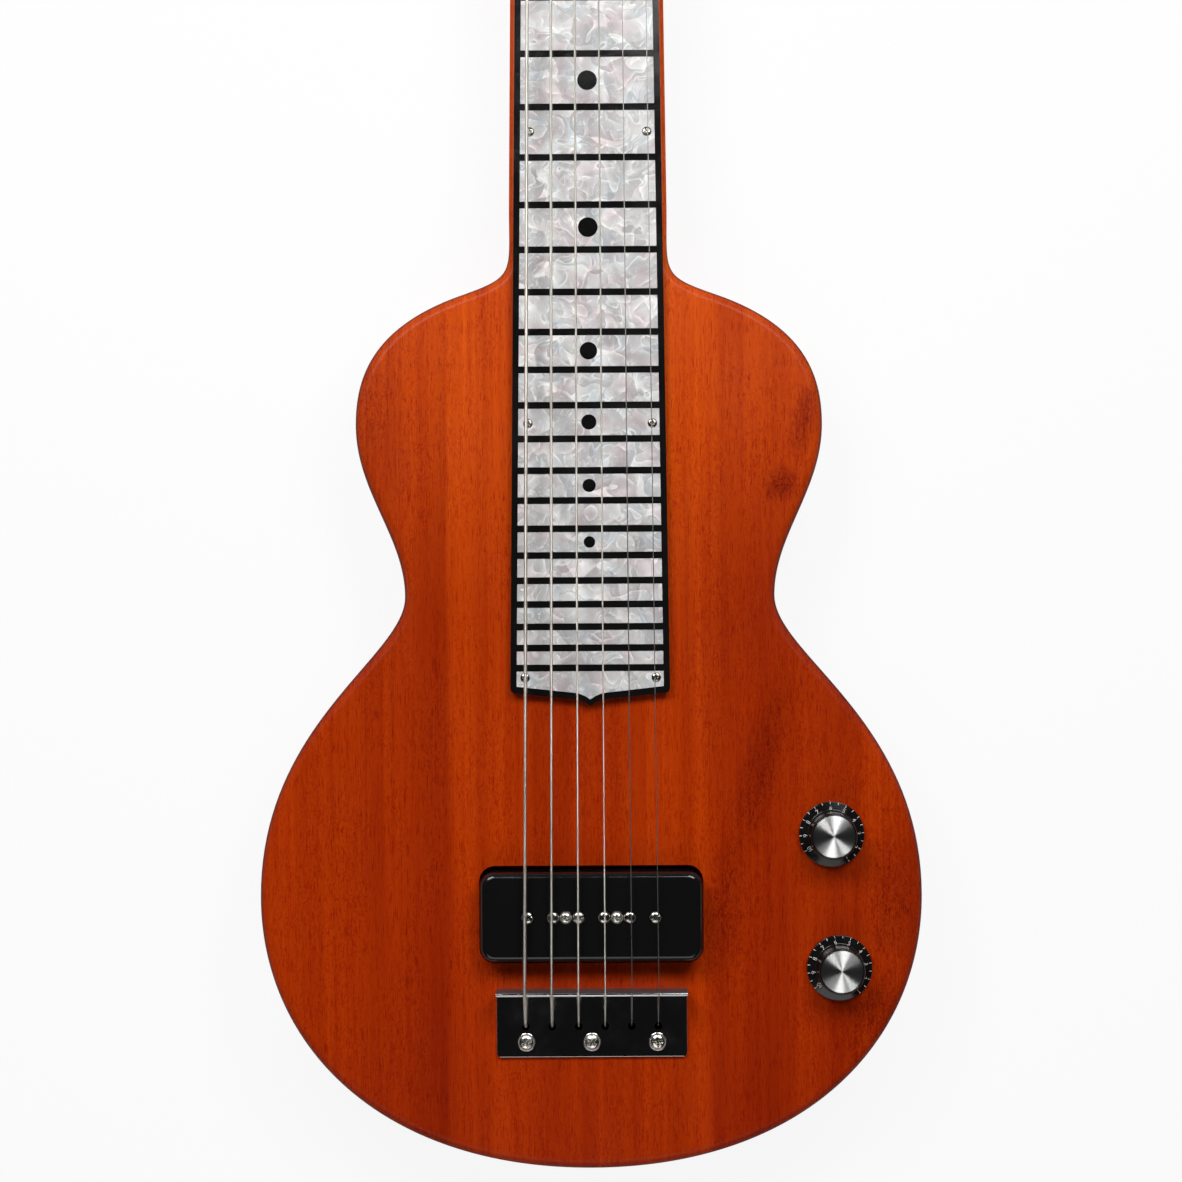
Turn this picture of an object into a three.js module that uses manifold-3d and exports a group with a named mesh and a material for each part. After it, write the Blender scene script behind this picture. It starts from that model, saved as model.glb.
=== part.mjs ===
import * as THREE from 'three';
import { mergeVertices } from 'three/addons/utils/BufferGeometryUtils.js';
import Module from 'manifold-3d';

// A lap steel guitar that lies on its back. Millimetres. X runs to the treble side, Y to the head and
// Z out of the face. The origin is on the flat back, straight under the saddle.

// Scale and strings. The saddle sits nearer the nut than the theoretical end of the fret pattern.
const scaleLength = 584.2;
const saddleLead = 5;
const stringSpreadAtSaddle = 51.5;
const stringSpreadAtNut = 42.6;
const stringDiameters = {
  string1: 1.32,
  string2: 1.07,
  string3: 0.81,
  string4: 0.61,
  string5: 0.41,
  string6: 0.33,
};
const stringGap = 0.15;
const ballEndRadius = 1.9;
const ballEndLength = 2.4;
const windingGap = 0.5;
const windingSteps = 12;
const stringSides = 5;
const windingTurns = 2;
const woundStrings = 4;

// Body, neck and head: one piece of mahogany.
const bodyDepth = 40;
const bodyEdge = 4;
const tailY = -70.2;
const lowerBoutHalf = 129;
const lowerBoutY = 36;
const waistHalf = 72.1;
const waistY = 152.9;
const upperBoutHalf = 91;
const upperBoutY = 219.8;
const shoulderHalf = 49.8;
const shoulderY = 270.4;
const shoulderSlope = 0.335;
const neckJoinY = 303;
const neckMargin = 1.95;
const neckBackZ = 12;
const neckTopEdge = 2;
const neckBackEdge = 9;
const heelStartY = 286;
const heelEndY = 316;
const headWidth = 76;
const headTopWidth = 70;
const headFlareLength = 22;
const headLength = 150;
const headCrown = 13;
const headDrop = 4;
const headThickness = 15;
const headEdge = 1.5;
const headRamp = 12;

// Curve handles of the outline, as shares of the box that each curve spans.
const tailHandleShares = [0.639, 0.547];
const lowerHandleShares = [0.583, 0.198];
const waistHandleShares = [0.351, 0.387];
const shoulderHandleShares = [0.354, 0.575];
const neckHandleShares = [0.593, 0.757];
const headHandleShares = [0.45, 0.5];
const crownHandleShares = [0.35, 0.5];
const outlineSteps = {
  tail: 16,
  lower: 10,
  waist: 9,
  shoulder: 8,
  neckRoot: 6,
  heel: 5,
  headFlare: 6,
  crown: 7,
};

// Fretboard: black board, pearloid sheet and an inlaid black ladder of lines.
const boardThickness = 4;
const pearlThickness = 2.4;
const lineDepth = 1.2;
const lineWidth = 2.5;
const borderWidth = 2.3;
const inlayGap = 0.1;
const boardWidthAtNut = 51.3;
const boardWidthAtTail = 61.8;
const boardCorner = 1.8;
const boardTipLength = 5;
const lastFret = 27;
const tipShoulderShares = [0.21, 0.49];
const dotFrets = [3, 5, 7, 9, 12, 15, 17, 19, 21];
const dotMaxDiameter = 7.4;
const dotShare = 0.54;

// Nut: a wedge of metal with six slots.
const nutHeight = 15.2;
const nutLand = 2.4;
const nutFoot = 9;
const nutFootHeight = 2;
const slotClearance = 0.3;

// Bridge: a bent angle. The flange is the saddle.
const saddleHeight = 14;
const bridgeSheet = 1.5;
const bridgeWidth = 74;
const bridgeLength = 26.8;
const bridgeBend = 2;
const bridgeHoleRadius = 1.5;
const bridgeHoleSetback = 14.2;
const bridgeScrewSetback = 20.2;
const bridgeScrewSpacing = 25.5;
const screwClearance = 0.3;
const bridgeScrewHeadRadius = 3.5;
const bridgeScrewHeadHeight = 2.2;
const bridgeScrewShankRadius = 1.9;
const bridgeScrewLength = 16;
const crossWidth = 0.9;
const crossDepth = 1;
const crossReachShare = 0.6;
const crownShares = [[1, 0.3], [0.82, 0.78], [0, 1]];

// Bar in the back that the ball ends pull against.
const ferruleBarLength = 62;
const ferruleBarWidth = 9;
const ferruleBarThickness = 4;
const ferruleSeatRadius = 2.4;
const ferruleHoleRadius = 1.1;
const ferruleRoof = 1;
const stringHoleRadius = 1.6;

// Pickup.
const pickupY = 29.2;
const pickupLength = 86;
const pickupWidth = 34.5;
const pickupCorner = 5.5;
const pickupEdge = 2.6;
const pickupProud = 11;
const pickupSunk = 7;
const pickupWall = 2.2;
const pickupRouteSideGap = 0.6;
const pickupRouteEndGap = 1.7;
const coilLength = 74;
const coilWidth = 24;
const coilHeight = 11;
const coilFlange = 1.2;
const coilInset = 2;
const baseplateThickness = 1.6;
const poleSpread = 49.2;
const poleHeadRadius = 2.3;
const poleHeadHeight = 2.4;
const poleHeadProud = 1.2;
const poleShankRadius = 1.5;
const poleSlotWidth = 0.8;
const poleSlotDepth = 0.6;
const poleEdge = 0.3;
const poleTurnShares = [0.08, 0.26, 0.03, 0.29, 0.17, 0.1];
const pickupScrewHeadRadius = 2.5;
const pickupScrewHeadHeight = 1.6;
const pickupScrewShankRadius = 1.3;
const pickupScrewLength = 30;

// Controls, set in from the side of the lower bout.
const knobInsets = [35.6, 32.8];
const knobY = [60, 8.1];
const knobSkirtRadius = 12.65;
const knobSkirtHeight = 3.2;
const knobRimHeight = 1.1;
const knobNeckRadius = 9.3;
const knobHeight = 13;
const knobEdge = 0.6;
const knobDraft = 0.3;
const knobGap = 0.5;
const knobHollowHeight = 3;
const capRadius = 8.2;
const capThickness = 0.8;
const capInset = 0.35;
const potRadius = 8.2;
const potHeight = 9;
const potBushingRadius = 4.6;
const potNutRadius = 6.6;
const potNutHeight = 2;
const potShaftRadius = 3;
const potShaftInKnob = 8;
const potShaftSunk = 4;
const runningGap = 0.3;
const cavityCeiling = 6;
const cavityInset = 22;
const cavityWidth = 35;
const cavityMinY = -4;
const cavityMaxY = 73;
const cavityCorner = 7;
const coverLip = 4;
const coverThickness = 2;
const coverGap = 0.3;
const wireHoleRadius = 3;
const capacitorRadius = 3.4;
const capacitorLength = 17;

// Jack, let into the side of the lower bout.
const jackY = 34;
const jackZ = 20;
const jackBarrelRadius = 6.35;
const jackBarrelLength = 36;
const jackBoreRadius = 3.4;
const jackBoreDepth = 28;
const jackNutRadius = 8.5;
const jackNutThickness = 2.6;
const jackRecessRadius = 10;
const jackRecessDepth = 3.2;

// Tuners: two strips of three open worm gears.
const tunerSpacing = 35;
const firstTunerSetback = 42.8;
const tunerPostX = 23;
const postRadius = 3;
const postHeight = 15;
const postHoleRadius = 0.9;
const postHoleDrop = 3;
const postDome = 1;
const postWaistDepth = 0.33;
const bushingRadius = 5.2;
const bushingHeight = 2;
const bushingEdge = 0.5;
const bushingSleeveRadius = 4.3;
const bushingSleeve = 6;
const plateThickness = 1;
const plateWidth = 17;
const plateOverhang = 11;
const plateCorner = 2;
const wheelTeeth = 14;
const toothPitch = 1.948;
const addendumShare = 0.286;
const dedendumShare = 0.382;
const flankDegrees = 20;
const wheelWidth = 3.2;
const wheelBoltRadius = 2.4;
const wheelBoltHeight = 1.4;
const toothBacklash = 0.4;
const wormPitchRadius = 2.05;
const wormRoom = 0.45;
const wormLength = 7.6;
const threadSunk = 0.33;
const shaftRadius = 1.5;
const collarRadius = 2.1;
const earThickness = 1.2;
const earHeight = 6.2;
const earWidth = 6.4;
const earTipWidth = 3.2;
const buttonDistance = 20;
const buttonLength = 15;
const buttonWidth = 18;
const buttonThickness = 6.4;
const buttonEdge = 2.2;

// Room between seated faces, an overrun for every cut, and the sides and steps of round shapes.
const seatGap = 0.02;
const overrun = 2;
const weldDistance = 1e-4;
const roundSides = 10;
const fineSides = 18;
const fewSides = 8;
const holeSides = 6;
const cornerSteps = 3;
const edgeSteps = 2;
const bendSteps = 4;
const ovalSteps = 12;

const wasm = await Module();
wasm.setup();

const guitar = new THREE.Group();

// A closed geometry becomes a solid once only its positions are left and shared vertices are merged.
function solidOf(geometry) {
  const plain = geometry.index ? geometry.toNonIndexed() : geometry.clone();
  plain.deleteAttribute('normal');
  plain.deleteAttribute('uv');
  const merged = mergeVertices(plain, weldDistance);
  const index = merged.index.array;
  const kept = [];
  for (let i = 0; i < index.length; i += 3) {
    const [a, b, c] = [index[i], index[i + 1], index[i + 2]];
    if (a !== b && b !== c && c !== a) kept.push(a, b, c);
  }
  return new wasm.Manifold(
    new wasm.Mesh({
      numProp: 3,
      vertProperties: new Float32Array(merged.attributes.position.array),
      triVerts: new Uint32Array(kept),
    }),
  );
}

function geometryOf(solid) {
  const mesh = solid.getMesh();
  const geometry = new THREE.BufferGeometry();
  geometry.setAttribute('position', new THREE.BufferAttribute(mesh.vertProperties, mesh.numProp));
  geometry.setIndex(new THREE.BufferAttribute(mesh.triVerts, 1));
  geometry.computeVertexNormals();
  return geometry;
}

function finish(color, roughness, metalness) {
  return () => new THREE.MeshStandardMaterial({ color, roughness, metalness });
}

const mahogany = finish(0x9c3f1c, 0.45, 0);
const pearloid = finish(0xd9d6d2, 0.3, 0);
const blackPlastic = finish(0x101010, 0.25, 0);
const nickel = finish(0xb9b7b2, 0.25, 1);
const chrome = finish(0xd2d4d6, 0.08, 1);
const brass = finish(0xb08d4a, 0.35, 1);
const aluminium = finish(0xc9cacc, 0.3, 1);
const copperWire = finish(0x8a3b1d, 0.5, 0.6);
const creamPlastic = finish(0xe6dcc4, 0.35, 0);
const steel = finish(0x8f8f8d, 0.35, 1);

function addPiece(name, shape, material, group = guitar) {
  const geometry = shape.getMesh ? geometryOf(shape) : shape;
  const mesh = new THREE.Mesh(geometry, material());
  mesh.name = name;
  group.add(mesh);
  return mesh;
}

// Points of a circle or of a rounded rectangle, as closed outlines in the XY plane.
function circle(radius, x = 0, y = 0, sides = roundSides) {
  const points = [];
  for (let i = 0; i < sides; i += 1) {
    const angle = (2 * Math.PI * (i + 0.5)) / sides;
    points.push(new THREE.Vector2(x + radius * Math.cos(angle), y + radius * Math.sin(angle)));
  }
  return points;
}

function roundedRectangle(minX, minY, maxX, maxY, corner, steps = cornerSteps) {
  const centres = [
    [maxX - corner, maxY - corner],
    [minX + corner, maxY - corner],
    [minX + corner, minY + corner],
    [maxX - corner, minY + corner],
  ];
  return centres.flatMap(([x, y], quarter) => {
    const arc = [];
    for (let i = 0; i <= steps; i += 1) {
      const angle = (Math.PI / 2) * (quarter + i / steps);
      arc.push(new THREE.Vector2(x + corner * Math.cos(angle), y + corner * Math.sin(angle)));
    }
    return arc;
  });
}

// A plate between two heights, from an outline and the outlines of its holes.
function plate(outline, low, high, holes = []) {
  const shape = new THREE.Shape(outline);
  for (const hole of holes) shape.holes.push(new THREE.Path(hole));
  const geometry = new THREE.ExtrudeGeometry(shape, { depth: 1, bevelEnabled: false, steps: 1 });
  const position = geometry.attributes.position;
  for (let i = 0; i < position.count; i += 1) position.setZ(i, position.getZ(i) > 0 ? high : low);
  return geometry;
}

// A plate with rounded upper and lower edges, its outline at full size half way up.
function softPlate(outline, low, high, edge, segments = edgeSteps) {
  const geometry = new THREE.ExtrudeGeometry(new THREE.Shape(outline), {
    depth: high - low - 2 * edge,
    bevelThickness: edge,
    bevelSize: edge,
    bevelOffset: -edge,
    bevelSegments: segments,
    steps: 1,
  });
  geometry.translate(0, 0, low + edge);
  return geometry;
}

// A turned piece on the Z axis, from a profile of [radius, height] that starts and ends on the axis.
function turned(profile, sides = roundSides) {
  const points = profile.map(([radius, height]) => new THREE.Vector2(radius, height));
  return new THREE.LatheGeometry(points, sides).rotateX(Math.PI / 2);
}

function rod(radius, low, high, sides = roundSides) {
  return turned([[0, low], [radius, low], [radius, high], [0, high]], sides);
}

function ring(inner, outer, low, high, sides = roundSides) {
  return turned([[inner, low], [outer, low], [outer, high], [inner, high], [inner, low]], sides);
}

// A prism along X, from an outline given as [y, z].
function bar(outline, halfWidth) {
  const shape = new THREE.Shape(outline.map(([y, z]) => new THREE.Vector2(y, z)));
  const geometry = new THREE.ExtrudeGeometry(shape, { depth: 2 * halfWidth, bevelEnabled: false });
  geometry.translate(0, 0, -halfWidth);
  geometry.applyMatrix4(new THREE.Matrix4().set(0, 0, 1, 0, 1, 0, 0, 0, 0, 1, 0, 0, 0, 0, 0, 1));
  return geometry;
}

function union(solids) {
  return solids.reduce((sum, solid) => sum.add(solid));
}

function cut(solid, cutters) {
  return cutters.length ? solid.subtract(union(cutters)) : solid;
}

function smooth(value, from, to) {
  const share = Math.min(1, Math.max(0, (value - from) / (to - from)));
  return share * share * (3 - 2 * share);
}

// Rings of points joined into one closed skin. Rings may shrink to a line at either end.
function skin(rings) {
  const count = rings[0].length;
  const positions = [];
  const quad = (a, b, c, d) => {
    for (const corner of [a, c, b, a, d, c]) positions.push(...corner);
  };
  for (let i = 0; i + 1 < rings.length; i += 1) {
    for (let j = 0; j < count; j += 1) {
      const next = (j + 1) % count;
      quad(rings[i][j], rings[i][next], rings[i + 1][next], rings[i + 1][j]);
    }
  }
  for (const [ends, flip] of [[rings[0], false], [rings[rings.length - 1], true]]) {
    for (let j = 1; j + 1 < count; j += 1) {
      const corners = flip ? [ends[0], ends[j + 1], ends[j]] : [ends[0], ends[j], ends[j + 1]];
      positions.push(...corners.flat());
    }
  }
  const geometry = new THREE.BufferGeometry();
  geometry.setAttribute('position', new THREE.Float32BufferAttribute(positions, 3));
  return geometry;
}

// Heights and lines that several pieces share.
const nutY = scaleLength - saddleLead;
const boardTopZ = bodyDepth + boardThickness;
const saddleTopZ = bodyDepth + saddleHeight;
const stringFloorZ = saddleTopZ + stringGap;
const headFaceZ = bodyDepth - headDrop;
const headBackZ = headFaceZ - headThickness;
const headStartY = nutY + nutFoot + inlayGap;
const headEndY = nutY + headLength;
const fretY = (fret) => scaleLength * 2 ** (-fret / 12) - saddleLead;
const boardTailY = fretY(lastFret);
const boardHalfAt = (y) =>
  THREE.MathUtils.mapLinear(y, boardTailY, nutY, boardWidthAtTail / 2, boardWidthAtNut / 2);
const neckHalfAt = (y) => boardHalfAt(y) + neckMargin;
const diameters = Object.values(stringDiameters);
const sharePlace = (index) => index / (diameters.length - 1) - 0.5;

// Right half of the plan outline, from the tail to the middle of the head's end.
function halfOutline() {
  const at = (x, y) => new THREE.Vector2(x, y);
  const box = (from, to, [outShare, inShare], outX, inX) => {
    const step = to.clone().sub(from);
    const first = from.clone().add(outX ? at(step.x * outShare, 0) : at(0, step.y * outShare));
    const second = to.clone().sub(inX ? at(step.x * inShare, 0) : at(0, step.y * inShare));
    return new THREE.CubicBezierCurve(from, first, second, to);
  };
  const tail = at(0, tailY);
  const lower = at(lowerBoutHalf, lowerBoutY);
  const waist = at(waistHalf, waistY);
  const upper = at(upperBoutHalf, upperBoutY);
  const shoulder = at(shoulderHalf, shoulderY);
  const neck = at(neckHalfAt(neckJoinY), neckJoinY);
  const along = at(-Math.cos(shoulderSlope), Math.sin(shoulderSlope));
  const shoulderCurve = new THREE.CubicBezierCurve(
    upper,
    at(upper.x, upper.y + shoulderHandleShares[0] * (shoulder.y - upper.y)),
    shoulder.clone().addScaledVector(along, -shoulderHandleShares[1] * upper.distanceTo(shoulder)),
    shoulder,
  );
  const neckCurve = new THREE.CubicBezierCurve(
    shoulder,
    shoulder.clone().addScaledVector(along, neckHandleShares[0] * shoulder.distanceTo(neck)),
    at(neck.x, neck.y - neckHandleShares[1] * (neck.y - shoulder.y)),
    neck,
  );
  const heelEnd = at(neckHalfAt(heelEndY), heelEndY);
  const neckEnd = at(neckHalfAt(headStartY), headStartY);
  const headSide = at(headWidth / 2, headStartY + headFlareLength);
  const headCorner = at(headTopWidth / 2, headEndY - headCrown);
  const crown = at(0, headEndY);
  const pieces = [
    [box(tail, lower, tailHandleShares, true, false), outlineSteps.tail],
    [box(lower, waist, lowerHandleShares, false, false), outlineSteps.lower],
    [box(waist, upper, waistHandleShares, false, false), outlineSteps.waist],
    [shoulderCurve, outlineSteps.shoulder],
    [neckCurve, outlineSteps.neckRoot],
    [new THREE.LineCurve(neck, heelEnd), outlineSteps.heel],
    [new THREE.LineCurve(heelEnd, neckEnd), 1],
    [box(neckEnd, headSide, headHandleShares, false, false), outlineSteps.headFlare],
    [new THREE.LineCurve(headSide, headCorner), 1],
    [box(headCorner, crown, crownHandleShares, false, true), outlineSteps.crown],
  ];
  const points = [tail];
  for (const [curve, steps] of pieces) points.push(...curve.getPoints(steps).slice(1));
  return points;
}

const halfPoints = halfOutline();

// The wood is a skin of cross sections that follow the outline, each with rounded edges.
function woodBlank() {
  const topZ = (y) => bodyDepth - headDrop * smooth(y, headStartY, headStartY + headRamp);
  const backZ = (y) =>
    neckBackZ * smooth(y, heelStartY, heelEndY) +
    (headBackZ - neckBackZ) * smooth(y, headStartY, headStartY + headFlareLength);
  const topEdge = (y) =>
    bodyEdge +
    (neckTopEdge - bodyEdge) * smooth(y, shoulderY, neckJoinY) +
    (headEdge - neckTopEdge) * smooth(y, headStartY, headStartY + headFlareLength);
  const backEdge = (y) =>
    bodyEdge +
    (neckBackEdge - bodyEdge) * smooth(y, heelStartY, heelEndY) +
    (headEdge - neckBackEdge) * smooth(y, headStartY, headStartY + headFlareLength);
  const normalAt = (i) => {
    if (i === 0) return new THREE.Vector2(0, -1);
    if (i === halfPoints.length - 1) return new THREE.Vector2(0, 1);
    const run = halfPoints[i + 1].clone().sub(halfPoints[i - 1]).normalize();
    return new THREE.Vector2(run.y, -run.x);
  };
  const rings = halfPoints.map((point, i) => {
    const normal = normalAt(i);
    const side = [];
    const push = (inset, height, edge) => {
      const x = Math.max(0, point.x - normal.x * inset);
      const y = point.y - normal.y * inset;
      side.push([x, y, height(y) + edge]);
    };
    for (let s = 0; s <= edgeSteps; s += 1) {
      const angle = (Math.PI / 2) * (s / edgeSteps);
      const edge = backEdge(point.y);
      push(edge * (1 - Math.sin(angle)), backZ, edge * (1 - Math.cos(angle)));
    }
    for (let s = edgeSteps; s >= 0; s -= 1) {
      const angle = (Math.PI / 2) * (s / edgeSteps);
      const edge = topEdge(point.y);
      push(edge * (1 - Math.sin(angle)), topZ, -edge * (1 - Math.cos(angle)));
    }
    const mirrored = side.map(([x, y, z]) => [-x, y, z]).reverse();
    return [...side, ...mirrored];
  });
  return solidOf(skin(rings));
}

// A box cutter or block between two corners.
function block(minX, minY, minZ, maxX, maxY, maxZ) {
  const corners = [[minX, minY], [maxX, minY], [maxX, maxY], [minX, maxY]];
  return plate(corners.map(([x, y]) => new THREE.Vector2(x, y)), minZ, maxZ);
}

// A round cutter or rod along X.
function rodAlongX(radius, fromX, toX, y, z, sides = roundSides) {
  return rod(radius, fromX, toX, sides).rotateY(Math.PI / 2).translate(0, y, z);
}

// Places of the strings at the saddle and the nut.
const stringX = diameters.map((_, index) => stringSpreadAtSaddle * sharePlace(index));
const stringNutX = diameters.map((_, index) => stringSpreadAtNut * sharePlace(index));
const saddleY = 0;
const flangeFrontY = saddleY + bridgeSheet / 2;
const stringHoleY = saddleY - bridgeHoleSetback;
const bridgeScrewX = [-bridgeScrewSpacing, 0, bridgeScrewSpacing];
const bridgeScrewY = saddleY - bridgeScrewSetback;
const bridgeTopZ = bodyDepth + seatGap + bridgeSheet;

// Pickup heights, from the cover's rim under the face to its top.
const coverRimZ = bodyDepth - pickupSunk;
const coverTopZ = bodyDepth + pickupProud;
const routeFloorZ = coverRimZ - baseplateThickness;
const polePitch = poleSpread / (diameters.length - 1);
const poleX = diameters.map((_, index) => poleSpread * sharePlace(index));
const pickupScrewX = [-polePitch, polePitch];
const pickupOutline = (sideGap, endGap = sideGap) =>
  roundedRectangle(
    -pickupLength / 2 - sideGap,
    pickupY - pickupWidth / 2 - endGap,
    pickupLength / 2 + sideGap,
    pickupY + pickupWidth / 2 + endGap,
    pickupCorner + sideGap,
  );

// Control cavity, its lid and the jack.
const knobX = knobInsets.map((inset) => lowerBoutHalf - inset);
const cavityMaxX = lowerBoutHalf - cavityInset;
const cavityMinX = cavityMaxX - cavityWidth;
const cavityTopZ = bodyDepth - cavityCeiling;
const cavityOutline = (grow) =>
  roundedRectangle(
    cavityMinX - grow,
    cavityMinY - grow,
    cavityMaxX + grow,
    cavityMaxY + grow,
    cavityCorner + grow,
  );
const jackFloorX = lowerBoutHalf - jackRecessDepth;
const jackFaceX = jackFloorX + jackNutThickness;

// Tuner places. Each worm lies beside its wheel, on the side of the nut.
const tunerY = [0, 1, 2].map((row) => nutY + firstTunerSetback + row * tunerSpacing);
const wheelPitchRadius = (toothPitch * wheelTeeth) / (2 * Math.PI);
const toothAddendum = toothPitch * addendumShare;
const toothDedendum = toothPitch * dedendumShare;
const wormRadius = wormPitchRadius + toothAddendum;
const wormRootRadius = wormPitchRadius - toothDedendum;
const gearDistance = wheelPitchRadius + wormPitchRadius;
const plateBackZ = headBackZ - plateThickness;
const axisZ = plateBackZ - wormRoom - wormRadius;
const wheelLowZ = axisZ - wheelWidth / 2;
const wheelTopZ = axisZ + wheelWidth / 2;
const bushingHoleRadius = bushingSleeveRadius + runningGap;

// Body: the wooden blank less its routes and bores.
function body() {
  const cutters = [
    plate(
      pickupOutline(pickupRouteSideGap, pickupRouteEndGap),
      routeFloorZ - seatGap,
      bodyDepth + overrun,
    ),
    plate(cavityOutline(0), -overrun, cavityTopZ),
    plate(cavityOutline(coverLip), -overrun, coverThickness + seatGap),
    rodAlongX(wireHoleRadius, pickupLength / 2 - overrun, cavityMinX + overrun, pickupY, routeFloorZ),
    rodAlongX(
      jackBarrelRadius + runningGap,
      cavityMaxX - overrun,
      lowerBoutHalf + overrun,
      jackY,
      jackZ,
      fineSides,
    ),
    rodAlongX(
      jackRecessRadius,
      jackFloorX - seatGap,
      lowerBoutHalf + overrun,
      jackY,
      jackZ,
      fineSides,
    ),
    block(
      -ferruleBarLength / 2 - coverGap,
      stringHoleY - ferruleBarWidth / 2 - coverGap,
      -overrun,
      ferruleBarLength / 2 + coverGap,
      stringHoleY + ferruleBarWidth / 2 + coverGap,
      ferruleBarThickness + seatGap,
    ),
  ];
  for (const x of stringX) {
    cutters.push(rod(stringHoleRadius, 0, bodyDepth + overrun, fewSides).translate(x, stringHoleY, 0));
  }
  for (const x of bridgeScrewX) {
    const low = bridgeTopZ - bridgeScrewLength - screwClearance;
    const pilot = rod(bridgeScrewShankRadius + screwClearance, low, bodyDepth + overrun, fewSides);
    cutters.push(pilot.translate(x, bridgeScrewY, 0));
  }
  for (const x of pickupScrewX) {
    const low = coverTopZ - pickupScrewLength - screwClearance;
    const pilot = rod(pickupScrewShankRadius + screwClearance, low, bodyDepth, fewSides);
    cutters.push(pilot.translate(x, pickupY, 0));
  }
  knobX.forEach((x, i) => {
    const hole = rod(potBushingRadius + runningGap, cavityTopZ - overrun, bodyDepth + overrun);
    cutters.push(hole.translate(x, knobY[i], 0));
  });
  for (const side of [-1, 1]) {
    for (const y of tunerY) {
      const hole = rod(bushingHoleRadius, headBackZ - overrun, headFaceZ + overrun);
      cutters.push(hole.translate(side * tunerPostX, y, 0));
    }
  }
  return cut(woodBlank(), cutters.map(solidOf));
}

// Outline of the fretboard, drawn in by an inset: a pointed tail with a shallow ogee on each side.
function boardOutline(inset, corner) {
  const tail = boardTailY - borderWidth + inset;
  const head = nutY - inlayGap - inset;
  const half = (y) => boardHalfAt(y) - inset;
  const tip = tail - boardTipLength;
  const shoulder = new THREE.Vector2(
    half(tail) * tipShoulderShares[0],
    tail - boardTipLength * tipShoulderShares[1],
  );
  const slope = (boardTipLength * tipShoulderShares[1]) / (half(tail) * (1 - tipShoulderShares[0]));
  const shape = new THREE.Shape();
  shape.moveTo(half(head), head);
  shape.lineTo(-half(head), head);
  shape.lineTo(-half(tail + corner), tail + corner);
  if (corner > 0) shape.quadraticCurveTo(-half(tail), tail, -half(tail) + corner, tail - corner * slope);
  shape.lineTo(-shoulder.x, shoulder.y);
  shape.quadraticCurveTo(-shoulder.x / 2, shoulder.y - (slope * shoulder.x) / 2, 0, tip);
  shape.quadraticCurveTo(shoulder.x / 2, shoulder.y - (slope * shoulder.x) / 2, shoulder.x, shoulder.y);
  shape.lineTo(half(tail) - corner, tail - corner * slope);
  if (corner > 0) shape.quadraticCurveTo(half(tail), tail, half(tail + corner), tail + corner);
  return shape.getPoints(cornerSteps);
}

// The dots lie half way between two lines and shrink with the space that holds them.
function dots() {
  return dotFrets.map((fret) => {
    const space = fretY(fret - 1) - fretY(fret) - lineWidth;
    const diameter = Math.min(dotMaxDiameter, dotShare * space);
    return { y: (fretY(fret - 1) + fretY(fret)) / 2, radius: diameter / 2 };
  });
}

function fretboard() {
  const pearlLowZ = boardTopZ - pearlThickness;
  const lineLowZ = boardTopZ - lineDepth;
  const outer = boardOutline(0, boardCorner);
  const pearl = boardOutline(borderWidth + inlayGap, 0);
  const frets = Array.from({ length: lastFret - 1 }, (_, index) => index + 1);
  const base = [plate(outer, bodyDepth + seatGap, pearlLowZ)];
  const sheetCuts = [];
  for (const dot of dots()) {
    base.push(plate(circle(dot.radius, 0, dot.y, fewSides), pearlLowZ - inlayGap, boardTopZ));
    const hole = circle(dot.radius + inlayGap, 0, dot.y, fewSides);
    sheetCuts.push(plate(hole, pearlLowZ - overrun, boardTopZ + overrun));
  }
  const windowHalf = (y) => boardHalfAt(y) - borderWidth;
  const across = (y) => [
    new THREE.Vector2(windowHalf(y), y),
    new THREE.Vector2(-windowHalf(y), y),
  ];
  const windows = [];
  let windowTop = nutY - inlayGap - borderWidth;
  for (const fret of frets) {
    const [low, high] = [fretY(fret) - lineWidth / 2, fretY(fret) + lineWidth / 2];
    windows.push([...across(windowTop), ...across(high).reverse()]);
    windowTop = low;
    const far = boardHalfAt(low);
    const [near, past] = [low - inlayGap, high + inlayGap];
    sheetCuts.push(block(-far, near, lineLowZ - seatGap, far, past, boardTopZ + overrun));
  }
  const tailWindow = boardOutline(borderWidth, 0).filter((point) => point.y < windowTop);
  windows.push([...across(windowTop), ...tailWindow]);
  const openings = windows.map((window) => solidOf(plate(window, pearlLowZ, boardTopZ + overrun)));
  const ladder = cut(solidOf(plate(outer, pearlLowZ + seatGap, boardTopZ)), openings);
  const underside = solidOf(plate(boardOutline(borderWidth - inlayGap, 0), bodyDepth, lineLowZ));
  const sheet = solidOf(plate(pearl, pearlLowZ + seatGap, boardTopZ));
  addPiece('fretboard_base', union(base.map(solidOf)), blackPlastic);
  addPiece('fretboard_pearl', cut(sheet, sheetCuts.map(solidOf)), pearloid);
  addPiece('fret_lines', cut(ladder, [underside]), blackPlastic);
}

function nut() {
  const top = bodyDepth + nutHeight;
  const low = bodyDepth + seatGap;
  const outline = [
    [nutY, low],
    [nutY + nutFoot, low],
    [nutY + nutFoot, bodyDepth + nutFootHeight],
    [nutY + nutLand, top],
    [nutY, top],
  ];
  const slots = stringNutX.map((x, index) => {
    const half = diameters[index] / 2 + slotClearance;
    const floor = saddleTopZ;
    return block(x - half, nutY - overrun, floor, x + half, nutY + nutFoot + overrun, top + overrun);
  });
  return cut(solidOf(bar(outline, boardWidthAtNut / 2)), slots.map(solidOf));
}

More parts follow.
